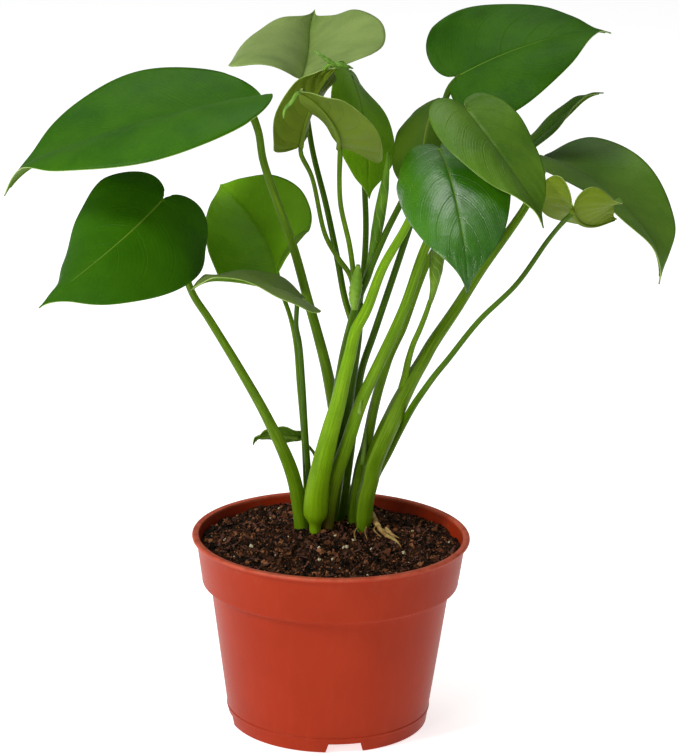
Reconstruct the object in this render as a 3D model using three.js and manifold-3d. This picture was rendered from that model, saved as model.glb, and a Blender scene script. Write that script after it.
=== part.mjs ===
// Young split-leaf philodendron (monstera) in a plastic nursery pot.
// Millimetres, +Z up. The origin is the centre of the pot's underside, on the surface it stands on.
import * as THREE from 'three';
import { mergeVertices } from 'three/addons/utils/BufferGeometryUtils.js';
import Module from 'manifold-3d';

const wasm = await Module();
wasm.setup();

// ---- Driving dimensions: pot ----
const POT_HEIGHT = 108.5;
const RIM_RADIUS = 77.5;
const RIM_BEAD = 2.4;
const COLLAR_TOP_RADIUS = 75;
const COLLAR_LOW_RADIUS = 71.7;
const COLLAR_LOW_Z = 82.2;
const SHOULDER_RADIUS = 66.9;
const SHOULDER_Z = 79.5;
const BASE_RADIUS = 55.8;
const WALL = 1.4;
const FLOOR_Z = 5.6;
const FLOOR_THICKNESS = 1.4;
const CENTRE_FOOT_RADIUS = 9;
const NOTCHES = 4;
const NOTCH_WIDTH = 22;
const NOTCH_TOP_WIDTH = 18;
const NOTCH_HEIGHT = 5.2;
const NOTCH_FIRST_ANGLE = -80;
const DRAIN_HOLE_RADIUS = 5;
const DRAIN_HOLE_CIRCLE = 42;
const ROUND_STEPS = 48;

// ---- Driving dimensions: potting mix ----
const SOIL_EDGE_Z = 101.5;
const SOIL_MIDDLE_Z = 106.5;

// ---- Driving dimensions: plant ----
const CLEARANCE = 0.35;
const BLADE_THICKNESS = 0.9;
const BLADE_GAP = 0.9;
const BLADE_STEPS_ACROSS = 8;
const BLADE_STEPS_ALONG = 10;
const SINUS_START = 0.05;
const PETIOLE_SIDES = 8;
const PETIOLE_STEP = 16;

const POT_COLOUR = 0xb94a30;
const SOIL_COLOUR = 0x2e211b;
const BLADE_COLOUR = 0x3f7a1c;
const YOUNG_COLOUR = 0x86a83c;
const PETIOLE_COLOUR = 0x5e8f22;
const ROOT_COLOUR = 0xc9ad66;

// Each leaf blade: base is where its petiole meets it; heading, pitch and roll (degrees) aim the
// midrib and tilt the blade about it. droop bends the midrib down along the blade, curl bends its
// last quarter, sweep bends it sideways and twist turns the blade about it. Each half (left, right)
// lifts from the midrib by fold and rolls down towards the margin by cup. lobe is the depth of the
// basal lobes as a share of the length.
const LEAVES = [
  {
    name: 'far_left', base: [-52, -9, 349], heading: -172, pitch: -8, roll: 17, length: 139, width: 135,
    droop: 14, curl: 40, sweep: 18, twist: -18, fold: [19, 8], cup: [75, -41], lobe: 0.10,
  },
  {
    name: 'low_left', base: [-93, -15, 300], heading: -115, pitch: -21, roll: -29, length: 96, width: 85,
    droop: 45, curl: 8, sweep: 31, twist: 45, fold: [-8, 0], cup: [40, 37], lobe: 0.15,
  },
  {
    name: 'inner_left', base: [-33, 28, 248], heading: 94, pitch: 19, roll: -40, length: 97, width: 76,
    droop: -37, curl: 43, sweep: -24, twist: 11, fold: [13, 23], cup: [-60, 6], lobe: -0.10,
  },
  {
    name: 'level_left', base: [-21, -9, 246], heading: -144, pitch: 29, roll: -13, length: 71, width: 43,
    droop: 32, curl: 54, sweep: 0, twist: 32, fold: [10, 12], cup: [34, 9], lobe: 0.15,
  },
  {
    name: 'top', base: [-21, 49, 355], heading: 86, pitch: 3, roll: 25, length: 132, width: 99,
    droop: -2, curl: -33, sweep: -8, twist: -13, fold: [31, 59], cup: [107, 28], lobe: 0.13,
  },
  {
    name: 'folded', base: [-21, 10, 325], heading: -75, pitch: 63, roll: 32, length: 63, width: 38,
    droop: 26, curl: 12, sweep: -6, twist: -33, fold: [31, 40], cup: [1, 53], lobe: 0.05,
  },
  {
    name: 'dark_middle', base: [6, 36, 361], heading: -52, pitch: -53, roll: -39, length: 73, width: 52,
    droop: 28, curl: -14, sweep: 6, twist: 48, fold: [-6, 2], cup: [-11, 18], lobe: 0.06,
  },
  {
    name: 'lifted', base: [1, -14, 330], heading: -87, pitch: 28, roll: -35, length: 83, width: 52,
    droop: 12, curl: 13, sweep: 35, twist: 17, fold: [23, 37], cup: [31, 51], lobe: 0.05,
  },
  {
    name: 'top_right', base: [64, 38, 360], heading: 5, pitch: 30, roll: 28, length: 91, width: 81,
    droop: 24, curl: 28, sweep: 7, twist: -30, fold: [12, 7], cup: [-15, 56], lobe: 0.09,
  },
  {
    name: 'shaded_right', base: [55, 25, 350], heading: -109, pitch: -6, roll: 12, length: 83, width: 50,
    droop: 76, curl: 12, sweep: 0, twist: -15, fold: [-29, -8], cup: [47, 38], lobe: 0.06,
  },
  {
    name: 'glossy_front', base: [53, -46, 336], heading: -82, pitch: -6, roll: -1, length: 109, width: 64,
    droop: 50, curl: 38, sweep: -3, twist: -16, fold: [11, -4], cup: [16, 75], lobe: 0.14,
  },
  {
    name: 'front_right', base: [66, -45, 357], heading: -57, pitch: -28, roll: -4, length: 81, width: 53,
    droop: 22, curl: 24, sweep: -16, twist: -18, fold: [8, 10], cup: [-9, 56], lobe: 0.12,
  },
  {
    name: 'rolled_right', base: [99, 55.5, 311.3], heading: -4, pitch: 42, roll: 7, length: 62, width: 23,
    droop: -5, curl: 52, sweep: -3, twist: -1, fold: [29, 27], cup: [26, 49], lobe: 0.15,
  },
  {
    name: 'far_right', base: [116, 38, 315], heading: -44, pitch: -3, roll: -1, length: 109, width: 83,
    droop: 52, curl: 49, sweep: 4, twist: -19, fold: [-1, 25], cup: [-34, 39], lobe: 0.10,
  },
  {
    name: 'small_right', base: [122, -67, 310], heading: 76, pitch: -43, roll: 19, length: 53, width: 50,
    droop: -63, curl: 17, sweep: 24, twist: -31, fold: [29, 40], cup: [43, 13], lobe: 0.29,
  },
  {
    name: 'narrow_low', base: [-19, 25, 157], heading: 178, pitch: 8, roll: 42, length: 29, width: 18,
    droop: 30, curl: 80, sweep: 0, twist: 0, fold: [10, 10], cup: [20, 20], lobe: 0.08,
  },
];

// Each petiole: the points its centre line passes through, from its foot up, and its radius at the
// foot and at the blade. They are cut in this order, each making room for those before it.
const PETIOLES = [
  {
    name: 'glossy_front', radii: [5.6, 6, 5.4, 4.4, 3.6, 3, 2.6, 2.3, 2, 1.7], route: [
      [-9.1, 6.5, 96], [-8.4, 3.7, 124.6], [-7.5, 1.2, 136], [-5.4, -1.7, 148.5], [-1, -7.8, 170.7],
      [2.5, -11.2, 186], [5.4, -14.2, 201.1], [8.5, -16.2, 215.8], [11.5, -17.7, 230.2],
      [17, -19, 242], [25, -23, 266], [37, -31, 291], [46, -40, 315], [52, -45, 333],
    ],
  },
  {
    name: 'far_right', radii: [4.6, 4.6, 5.3, 5.3, 4, 3.4, 3, 2.6, 2.2, 1.9], route: [
      [17.3, 16, 96], [18.2, 13.9, 118.9], [19.2, 12.1, 127.1], [21.2, 10, 136.6], [22.6, 8, 146.1],
      [25.5, 5.7, 155.6], [28.9, 3.4, 165], [32.5, 1.1, 174.4], [35.9, 1.2, 183.1], [39.8, 1.5, 191.7],
      [44, 1.7, 200.2], [48.7, 2, 208.8], [53.2, 4, 216.9], [66, 9, 236], [79, 16, 256],
      [104, 28, 291], [115, 36, 313],
    ],
  },
  {
    name: 'low_left', radii: [4.1, 4.1, 3.9, 3.1, 2.7, 2.4, 2.1, 1.9, 1.7], route: [
      [-16.8, 14, 96], [-16.8, 14, 107], [-21.8, 8, 139], [-35.8, -3, 175], [-51, -8, 204],
      [-68, -8, 232], [-78, -8, 248], [-86, -8, 276], [-92, -12, 296],
    ],
  },
  {
    name: 'front_right', radii: [4.2, 1.7], route: [
      [-3, 13, 96], [-3, 13, 104], [0, 9, 130], [9, -2, 164], [16, -9, 189], [37, -14, 241],
      [48, -17, 277], [61, -19, 305], [71, -23, 327], [73, -31, 345], [68, -43, 354],
    ],
  },
  {
    name: 'shoot', radii: [4.2, 3.2], route: [
      [-1, 22, 96], [-1, 22, 104], [4, 11, 154], [9, 2, 197], [12, 3, 225], [12, 4, 240],
    ],
  },
  {
    name: 'far_left', radii: [3.4, 3.4, 3.4, 3.2, 2.7, 2.5, 2.3, 2.1, 1.9], route: [
      [8, 38, 96], [8, 37, 113], [3, 27, 155], [-4, 12, 199], [-10, 11, 222], [-15, 11, 239],
      [-23, 5, 269], [-31, -2, 293], [-40, -6, 320], [-43, -8, 337], [-48, -8, 347],
    ],
  },
  {
    name: 'rolled_right', radii: [3.4, 3.2, 2.9, 2.6, 2.3, 2, 1.8, 1.6, 1.4], route: [
      [12.2, 25.2, 96], [12.6, 22.8, 117.6], [14.1, 19.7, 130.5], [16, 16.5, 143.3],
      [18.6, 13.7, 154.7], [20.3, 10.8, 165.5], [22, 8.1, 176.8], [24.7, 4.9, 190.4],
      [27.5, 3.7, 201.1], [30.1, 4, 209.6], [33.7, 4.3, 218.1], [36.8, 4.6, 224.9], [52, 14, 265],
      [73, 34, 292], [95, 54, 306],
    ],
  },
  {
    name: 'top_right', radii: [2.4, 1.7], route: [
      [3, 31, 96], [5, 31, 104], [12, 15, 170], [15, 9, 200], [22, 10, 223], [39, 15, 278],
      [50, 24, 316], [60, 36, 353],
    ],
  },
  {
    name: 'shaded_right', radii: [2.4, 1.5], route: [
      [-5, 4, 145], [-2, 0, 166], [2, -5, 194], [6, -6, 219], [11, -6, 240], [17, -5, 257],
      [27, -4, 282], [35, 1, 298], [47, 12, 324], [54, 22, 347],
    ],
  },
  {
    name: 'inner_left', radii: [1.6, 1.6, 1.6, 1.5, 1.4, 1.1], route: [
      [-12, 24, 96], [-14, 22, 120], [-16, 11, 160], [-19, 3, 194], [-21, 2, 216], [-24, 4, 230],
      [-28, 12, 239], [-33, 23, 247],
    ],
  },
  {
    name: 'level_left', radii: [1.6, 1.6, 1.6, 1.5, 1.4, 1.1], route: [
      [-10, 20, 96], [-12, 18, 122], [-15, 6, 162], [-17, -2, 195], [-19, -4, 218], [-21, -6, 229],
      [-21, -8, 244],
    ],
  },
  {
    name: 'small_right', radii: [2.2, 2.1, 2, 1.8, 1.6, 1.5, 1.4, 1.3, 1.2], route: [
      [21, 13, 126], [24.6, 13, 138], [30.9, 12.3, 151.3], [35.6, 9.5, 162.7],
      [39.9, 1.4, 174.5], [44.1, -9.4, 186.3], [49.1, -19, 197.6], [54.7, -22, 207],
      [61.1, -24.7, 216.3], [77, -31, 240], [96, -40, 263], [111, -49, 289], [118, -61, 302],
      [122, -67, 308],
    ],
  },
  {
    name: 'top', radii: [1.8, 1.4], route: [
      [10, 4, 227], [5, 11, 241], [1, 15, 260], [-6, 22, 290], [-14, 33, 318], [-18, 41, 339],
      [-21, 48, 354],
    ],
  },
  {
    name: 'dark_middle', radii: [1.8, 1.4], route: [
      [12, 5, 230], [15, 12, 253], [16, 16, 278], [15, 20, 298], [13, 26, 321], [9, 31, 342],
      [6, 36, 359],
    ],
  },
  {
    name: 'lifted', radii: [1.5, 1.2], route: [
      [12, 2, 239], [9, -3, 262], [7, -6, 275], [2, -10, 297], [1, -12, 311], [1, -14, 329],
    ],
  },
  {
    name: 'folded', radii: [1.5, 1.2], route: [
      [11, 4, 237], [8, 3, 255], [1, 4, 265], [-6, 6, 277], [-14, 8, 309], [-20, 9, 321],
    ],
  },
  {
    name: 'rolled_young', radii: [2, 1.8, 1.6, 1.5, 1.3], route: [
      [37.5, 0, 193.2], [39, -0.6, 199.6], [40.6, -4.8, 210.5], [42.7, -8.4, 220],
      [46, -10.9, 229.1], [49, -12.4, 238], [51.3, -13.3, 246],
    ],
  },
  {
    name: 'narrow_low', radii: [1.2, 0.8], route: [
      [-5, 30, 96], [-6, 29, 115], [-7, 26, 134], [-10, 29, 145], [-14, 33, 149], [-18, 36, 153],
    ],
  },
];

// Leaves that are still rolled up: spindles along a route, with a radius at each point of it.
const ROLLED = [
  {
    name: 'spear_leaf', radii: [1.6, 1.7, 2.6, 3, 2.3, 0.9],
    route: [[13, 3, 243], [18, 1, 258], [22, 1, 283], [24, 0, 297], [26, -1, 311], [27, -2, 325]],
  },
  {
    name: 'rolled_young_leaf', radii: [1.3, 3.4, 3.7, 3.2, 1.2],
    route: [[52, -13.5, 248], [53, -14, 253], [54, -14, 263], [55, -13, 275], [56, -12, 289]],
  },
  {
    name: 'leaf_bud', radii: [1.6, 3, 3.4, 2.8, 0.9],
    route: [[10.5, -10, 240], [10.5, -11, 245], [11, -11.5, 252], [11.5, -11.5, 259], [12, -11.5, 265]],
  },
];

// Aerial roots that leave the crown and lie on the mix.
const ROOTS = [
  {
    name: 'aerial_root_long', radii: [2.1, 1.9, 1.4, 0.9],
    route: [[22, 24, 113], [24.5, 17, 110.6], [27.5, 8, 108.6], [31, -1, 107]],
  },
  {
    name: 'aerial_root_short', radii: [1.1, 1, 0.7],
    route: [[31, 10, 108.4], [34, 3, 106.8], [36.5, -5, 105.6]],
  },
];

// ---- Solids ----
const radians = THREE.MathUtils.degToRad;
const group = new THREE.Group();

// A closed mesh with shared vertices, no flat triangles and its faces pointing out, as a solid.
function solidFrom(geometry) {
  const bare = geometry.clone();
  bare.deleteAttribute('normal');
  bare.deleteAttribute('uv');
  const merged = mergeVertices(bare, 1e-4);
  const positions = merged.attributes.position.array;
  const corners = [...merged.index.array];
  const triangles = [];
  let volume = 0;
  for (let i = 0; i < corners.length; i += 3) {
    const [a, b, c] = corners.slice(i, i + 3);
    if (a === b || b === c || c === a) continue;
    const [p, q, r] = [a, b, c].map((k) => new THREE.Vector3().fromArray(positions, 3 * k));
    volume += p.dot(q.cross(r));
    triangles.push(a, b, c);
  }
  if (volume < 0) triangles.reverse();
  return new wasm.Manifold(new wasm.Mesh({
    numProp: 3,
    vertProperties: Float32Array.from(positions),
    triVerts: Uint32Array.from(triangles),
  }));
}

function geometryFrom(solid) {
  const mesh = solid.getMesh();
  const geometry = new THREE.BufferGeometry();
  geometry.setAttribute('position', new THREE.BufferAttribute(Float32Array.from(mesh.vertProperties), 3));
  geometry.setIndex(new THREE.BufferAttribute(Uint32Array.from(mesh.triVerts), 1));
  geometry.computeVertexNormals();
  return geometry;
}

function largestPiece(solid) {
  const pieces = solid.decompose();
  return pieces.reduce((best, piece) => (piece.volume() > best.volume() ? piece : best));
}

function addMesh(name, solid, colour, roughness) {
  const material = new THREE.MeshStandardMaterial({ color: colour, roughness, metalness: 0 });
  const mesh = new THREE.Mesh(geometryFrom(solid), material);
  mesh.name = name;
  group.add(mesh);
}

// A profile of [radius, height] points turned about the Z axis.
function turned(profile) {
  const points = profile.map(([radius, height]) => new THREE.Vector2(radius, height));
  return solidFrom(new THREE.LatheGeometry(points, ROUND_STEPS).rotateX(Math.PI / 2));
}

// Value at fraction t of a list of evenly spaced values.
function along(values, t) {
  const place = t * (values.length - 1);
  const low = Math.min(Math.floor(place), values.length - 2);
  return THREE.MathUtils.lerp(values[low], values[low + 1], place - low);
}

// A round stem along a route, its radius following the list of radii and grown by extra.
function stem(route, radii, extra = 0) {
  const path = new THREE.CatmullRomCurve3(route.map((point) => new THREE.Vector3(...point)));
  const steps = Math.max(4, 2 * (radii.length - 1), Math.round(path.getLength() / PETIOLE_STEP));
  const centres = path.getSpacedPoints(steps);
  const section = new THREE.Shape();
  for (let i = 0; i < PETIOLE_SIDES; i += 1) {
    const angle = (2 * Math.PI * i) / PETIOLE_SIDES;
    section[i ? 'lineTo' : 'moveTo'](Math.cos(angle), Math.sin(angle));
  }
  section.closePath();
  const geometry = new THREE.ExtrudeGeometry(section, { steps, extrudePath: path, bevelEnabled: false });
  const position = geometry.attributes.position;
  const point = new THREE.Vector3();
  for (let i = 0; i < position.count; i += 1) {
    point.fromBufferAttribute(position, i);
    let nearest = 0;
    for (let k = 1; k <= steps; k += 1) {
      if (centres[k].distanceTo(point) < centres[nearest].distanceTo(point)) nearest = k;
    }
    const radius = along(radii, nearest / steps) + extra;
    point.sub(centres[nearest]).setLength(radius).add(centres[nearest]);
    position.setXYZ(i, point.x, point.y, point.z);
  }
  return solidFrom(geometry);
}

// ---- Leaf blade ----

// Half of the heart-shaped outline, from the sinus (u = 0) round the basal lobe and the widest part
// to the drawn-out tip (u = 1). x is a share of the half width, y a share of the length.
function halfOutline(lobe, u) {
  const curve = (...points) => new THREE.CubicBezierCurve(...points.map((p) => new THREE.Vector2(...p)));
  const pieces = [
    [0, 0.3, curve([0, 0], [0.05, -1.05 * lobe], [0.6, -1.75 * lobe], [0.88, 0.02])],
    [0.3, 0.62, curve([0.88, 0.02], [1.06, 0.18], [1.02, 0.42], [0.74, 0.64])],
    [0.62, 1, curve([0.74, 0.64], [0.5, 0.83], [0.12, 0.86], [0, 1])],
  ];
  const [from, to, piece] = pieces.find(([, end]) => u <= end);
  return piece.getPoint((u - from) / (to - from));
}

// The blade's own axes at its base: across it to the right, along the midrib, and up through it.
function bladeAxes(leaf) {
  const [heading, pitch, roll] = [leaf.heading, leaf.pitch, leaf.roll].map(radians);
  const forward = new THREE.Vector3(
    Math.cos(pitch) * Math.cos(heading),
    Math.cos(pitch) * Math.sin(heading),
    Math.sin(pitch),
  );
  const up = new THREE.Vector3(0, 0, 1).addScaledVector(forward, -forward.z).normalize();
  up.applyAxisAngle(forward, roll);
  const across = new THREE.Vector3().crossVectors(forward, up);
  return { across, forward, up };
}

// Directions across, along and out of the blade at a share s of the midrib, in the blade's axes.
function midribAxes(leaf, s) {
  const reach = THREE.MathUtils.clamp(s, -0.3, 1);
  const curled = THREE.MathUtils.clamp((s - 0.72) / 0.28, 0, 1) ** 1.5;
  const bend = radians(leaf.droop) * reach + radians(leaf.curl) * curled;
  const sweep = radians(leaf.sweep) * reach;
  const twist = radians(leaf.twist) * THREE.MathUtils.clamp(s, 0, 1);
  const forward = new THREE.Vector3(
    Math.sin(sweep) * Math.cos(bend),
    Math.cos(sweep) * Math.cos(bend),
    -Math.sin(bend),
  );
  const flatUp = new THREE.Vector3(
    Math.sin(sweep) * Math.sin(bend),
    Math.cos(sweep) * Math.sin(bend),
    Math.cos(bend),
  );
  const flatAcross = new THREE.Vector3().crossVectors(forward, flatUp);
  const up = flatUp.clone().multiplyScalar(Math.cos(twist)).addScaledVector(flatAcross, Math.sin(twist));
  const across = flatAcross.multiplyScalar(Math.cos(twist)).addScaledVector(flatUp, -Math.sin(twist));
  return { across, forward, up };
}

// The midrib's point at a share s of the length, in the blade's axes.
function midribPoint(leaf, s) {
  const steps = 24;
  const point = new THREE.Vector3();
  for (let i = 0; i < steps; i += 1) {
    const middle = (s * (i + 0.5)) / steps;
    point.addScaledVector(midribAxes(leaf, middle).forward, (s * leaf.length) / steps);
  }
  return point;
}

// A point of the blade: x across (a share of the half width, right positive), y along (a share of
// the length), and height out of its middle surface.
function bladePoint(leaf, axes, x, y, height) {
  const side = x < 0 ? -1 : 1;
  const half = leaf.width / 2;
  const fold = radians(leaf.fold[x < 0 ? 0 : 1]);
  const rate = radians(leaf.cup[x < 0 ? 0 : 1]) / half || 1e-6;
  const reach = Math.abs(x) * half;
  const angle = fold - rate * reach;
  const out = (Math.sin(fold) - Math.sin(angle)) / rate;
  const rise = (Math.cos(angle) - Math.cos(fold)) / rate;
  const lean = x === 0 ? 0 : side * angle;
  const rib = midribAxes(leaf, y);
  const local = midribPoint(leaf, y)
    .addScaledVector(rib.across, side * out - Math.sin(lean) * height)
    .addScaledVector(rib.up, rise + Math.cos(lean) * height);
  return new THREE.Vector3(...leaf.base)
    .addScaledVector(axes.across, local.x)
    .addScaledVector(axes.forward, local.y)
    .addScaledVector(axes.up, local.z);
}

// The blade is a flat slab bent to shape: across it runs from margin to margin, along it from the
// sinus to the tip, with its cross lines fanning out from the base.
function blade(leaf, thickness) {
  const axes = bladeAxes(leaf);
  const geometry = new THREE.BoxGeometry(2, 1, thickness, BLADE_STEPS_ACROSS, BLADE_STEPS_ALONG, 1);
  const position = geometry.attributes.position;
  for (let i = 0; i < position.count; i += 1) {
    const cross = position.getX(i);
    const u = SINUS_START + (1 - SINUS_START) * (position.getY(i) + 0.5);
    const edge = halfOutline(leaf.lobe, Math.min(u, 1));
    const rib = Math.max(0, (u - 0.25) / 0.75) ** 1.1;
    const share = Math.abs(cross);
    const y = rib * (1 - share) + edge.y * share;
    const point = bladePoint(leaf, axes, cross * edge.x, y, position.getZ(i));
    position.setXYZ(i, point.x, point.y, point.z);
  }
  return solidFrom(geometry);
}

// ---- Pot ----
function pot() {
  const inner = (radius) => radius - WALL;
  let solid = turned([
    [0, 0], [CENTRE_FOOT_RADIUS, 0], [CENTRE_FOOT_RADIUS, FLOOR_Z],
    [inner(BASE_RADIUS), FLOOR_Z], [inner(BASE_RADIUS), 0], [BASE_RADIUS, 0],
    [SHOULDER_RADIUS, SHOULDER_Z], [COLLAR_LOW_RADIUS, COLLAR_LOW_Z],
    [COLLAR_TOP_RADIUS, POT_HEIGHT - RIM_BEAD - 0.4], [RIM_RADIUS - 0.4, POT_HEIGHT - RIM_BEAD],
    [RIM_RADIUS, POT_HEIGHT - RIM_BEAD / 2], [RIM_RADIUS - 0.8, POT_HEIGHT],
    [inner(COLLAR_TOP_RADIUS) + 0.9, POT_HEIGHT], [inner(COLLAR_TOP_RADIUS), POT_HEIGHT - 1.2],
    [inner(COLLAR_LOW_RADIUS), COLLAR_LOW_Z + WALL], [inner(SHOULDER_RADIUS), SHOULDER_Z + WALL],
    [inner(BASE_RADIUS) + 1, FLOOR_Z + FLOOR_THICKNESS], [0, FLOOR_Z + FLOOR_THICKNESS],
  ]);
  const reach = 20;
  const slot = new THREE.Shape();
  slot.moveTo(-NOTCH_WIDTH / 2, -1);
  slot.lineTo(NOTCH_WIDTH / 2, -1);
  slot.lineTo(NOTCH_TOP_WIDTH / 2, NOTCH_HEIGHT);
  slot.lineTo(-NOTCH_TOP_WIDTH / 2, NOTCH_HEIGHT);
  slot.closePath();
  for (let i = 0; i < NOTCHES; i += 1) {
    const angle = radians(NOTCH_FIRST_ANGLE + (360 / NOTCHES) * i);
    const cut = new THREE.ExtrudeGeometry(slot, { depth: reach, bevelEnabled: false });
    cut.translate(0, 0, BASE_RADIUS - reach / 2).rotateX(Math.PI / 2).rotateZ(angle + Math.PI / 2);
    const hole = new THREE.CylinderGeometry(DRAIN_HOLE_RADIUS, DRAIN_HOLE_RADIUS, 4, 16);
    hole.rotateX(Math.PI / 2);
    hole.translate(
      DRAIN_HOLE_CIRCLE * Math.cos(angle),
      DRAIN_HOLE_CIRCLE * Math.sin(angle),
      FLOOR_Z + FLOOR_THICKNESS / 2,
    );
    solid = solid.subtract(solidFrom(cut)).subtract(solidFrom(hole));
  }
  return solid;
}

// ---- Potting mix: fills the pot to just under the rim, with a low mound round the stems ----
function soil(feet) {
  const clear = WALL + CLEARANCE;
  const bottom = FLOOR_Z + FLOOR_THICKNESS + CLEARANCE;
  const edge = COLLAR_LOW_RADIUS + (COLLAR_TOP_RADIUS - COLLAR_LOW_RADIUS)
    * ((SOIL_EDGE_Z - COLLAR_LOW_Z) / (POT_HEIGHT - COLLAR_LOW_Z));
  const solid = turned([
    [0, bottom], [BASE_RADIUS + 0.6 - clear, bottom], [SHOULDER_RADIUS - clear, SHOULDER_Z + WALL + CLEARANCE],
    [COLLAR_LOW_RADIUS - clear, COLLAR_LOW_Z + WALL + CLEARANCE], [edge - clear, SOIL_EDGE_Z],
    [58, SOIL_EDGE_Z + 1.5], [34, SOIL_MIDDLE_Z - 1], [0, SOIL_MIDDLE_Z],
  ]);
  return feet.reduce((left, foot) => left.subtract(foot), solid);
}

// ---- Assembly ----
const fatBlades = new Map();
LEAVES.forEach((leaf) => {
  addMesh(`leaf_${leaf.name}`, blade(leaf, BLADE_THICKNESS), BLADE_COLOUR, 0.4);
  fatBlades.set(leaf.name, blade(leaf, BLADE_THICKNESS + 2 * BLADE_GAP));
});

const taken = [];
const addStem = (name, route, radii, colour, ownBlade) => {
  let solid = stem(route, radii);
  taken.forEach((other) => { solid = solid.subtract(other); });
  if (ownBlade) solid = solid.subtract(ownBlade);
  addMesh(name, largestPiece(solid), colour, 0.5);
  taken.push(stem(route, radii, CLEARANCE));
};
PETIOLES.forEach(({ name, route, radii }) => {
  addStem(name === 'shoot' ? 'middle_shoot' : `petiole_${name}`, route, radii, PETIOLE_COLOUR, fatBlades.get(name));
});
ROLLED.forEach(({ name, route, radii }) => addStem(name, route, radii, YOUNG_COLOUR));
ROOTS.forEach(({ name, route, radii }) => addStem(name, route, radii, ROOT_COLOUR));

addMesh('nursery_pot', pot(), POT_COLOUR, 0.35);
addMesh('potting_mix', soil(taken), SOIL_COLOUR, 0.95);

export default group;
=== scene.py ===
"""Young potted monstera: the visible leaves, stalks, mix and pot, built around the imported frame."""

import logging
import math
from dataclasses import dataclass
from enum import Enum
from typing import Callable, Sequence

import bpy
import numpy as np
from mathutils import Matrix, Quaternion, Vector, noise


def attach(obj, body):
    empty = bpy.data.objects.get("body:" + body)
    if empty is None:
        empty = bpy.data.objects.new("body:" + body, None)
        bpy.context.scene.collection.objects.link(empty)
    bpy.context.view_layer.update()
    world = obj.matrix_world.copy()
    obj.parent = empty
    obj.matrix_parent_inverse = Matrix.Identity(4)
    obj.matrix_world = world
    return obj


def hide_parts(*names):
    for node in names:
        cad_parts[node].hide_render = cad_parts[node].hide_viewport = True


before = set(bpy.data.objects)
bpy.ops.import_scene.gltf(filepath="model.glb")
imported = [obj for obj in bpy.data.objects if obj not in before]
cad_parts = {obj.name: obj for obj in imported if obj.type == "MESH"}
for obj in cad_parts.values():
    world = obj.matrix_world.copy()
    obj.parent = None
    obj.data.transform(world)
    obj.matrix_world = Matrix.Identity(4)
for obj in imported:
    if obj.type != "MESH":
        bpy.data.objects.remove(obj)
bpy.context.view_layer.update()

log = logging.getLogger("potted_monstera")

MM = 0.001
Point = tuple[float, float, float]
Colour = tuple[float, float, float, float]
Pair = tuple[float, float]


# --------------------------------------------------------------------------- small tools
def srgb(red: int, green: int, blue: int) -> Colour:
    """A colour given in 0 to 255 display values, as the linear RGBA that a shader socket takes."""
    def linear(value: int) -> float:
        share = value / 255
        return share / 12.92 if share <= 0.04045 else ((share + 0.055) / 1.055) ** 2.4
    return (linear(red), linear(green), linear(blue), 1.0)


def deselect() -> None:
    """Leaves nothing selected, so that an operator acts only on what is added next."""
    bpy.ops.object.select_all(action="DESELECT")


def only(piece: bpy.types.Object) -> None:
    """Makes a piece the one selected and active object."""
    deselect()
    piece.select_set(True)
    bpy.context.view_layer.objects.active = piece


def apply_modifiers(piece: bpy.types.Object) -> None:
    """Applies every modifier of a piece, in order."""
    only(piece)
    for modifier in list(piece.modifiers):
        bpy.ops.object.modifier_apply(modifier=modifier.name)


def grid(name: str, across: int, along: int) -> bpy.types.Object:
    """A flat grid of across by along cells that spans 0 to 1 both ways.

    Args:
        name: Name of the new object.
        across: Cells along X.
        along: Cells along Y.

    Returns:
        The grid, with a UV map that repeats its X and Y.
    """
    deselect()
    bpy.ops.mesh.primitive_grid_add(x_subdivisions=across, y_subdivisions=along, size=1.0,
                                    calc_uvs=True, location=(0.5, 0.5, 0.0))
    piece = bpy.context.active_object
    bpy.ops.object.transform_apply(location=True, rotation=False, scale=False)
    piece.name = name
    piece.data.name = name
    return piece


def coordinates(piece: bpy.types.Object) -> np.ndarray:
    """The vertex positions of a mesh piece as an N by 3 array."""
    flat = np.empty(3 * len(piece.data.vertices))
    piece.data.vertices.foreach_get("co", flat)
    return flat.reshape(-1, 3)


def set_coordinates(piece: bpy.types.Object, points: np.ndarray) -> None:
    """Moves the vertices of a mesh piece to the rows of points."""
    piece.data.vertices.foreach_set("co", points.ravel())
    piece.data.update()


def weld(piece: bpy.types.Object, distance: float = 2e-6) -> None:
    """Merges vertices that lie together."""
    only(piece)
    bpy.ops.object.mode_set(mode="EDIT")
    bpy.ops.mesh.select_all(action="SELECT")
    bpy.ops.mesh.remove_doubles(threshold=distance)
    bpy.ops.mesh.dissolve_degenerate(threshold=distance)
    bpy.ops.object.mode_set(mode="OBJECT")


def face_out(piece: bpy.types.Object) -> None:
    """Turns the faces of a closed mesh outwards."""
    only(piece)
    bpy.ops.object.mode_set(mode="EDIT")
    bpy.ops.mesh.select_all(action="SELECT")
    bpy.ops.mesh.normals_make_consistent(inside=False)
    bpy.ops.object.mode_set(mode="OBJECT")


def smooth(piece: bpy.types.Object) -> None:
    """Shades a piece smooth."""
    only(piece)
    bpy.ops.object.shade_smooth()


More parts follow.
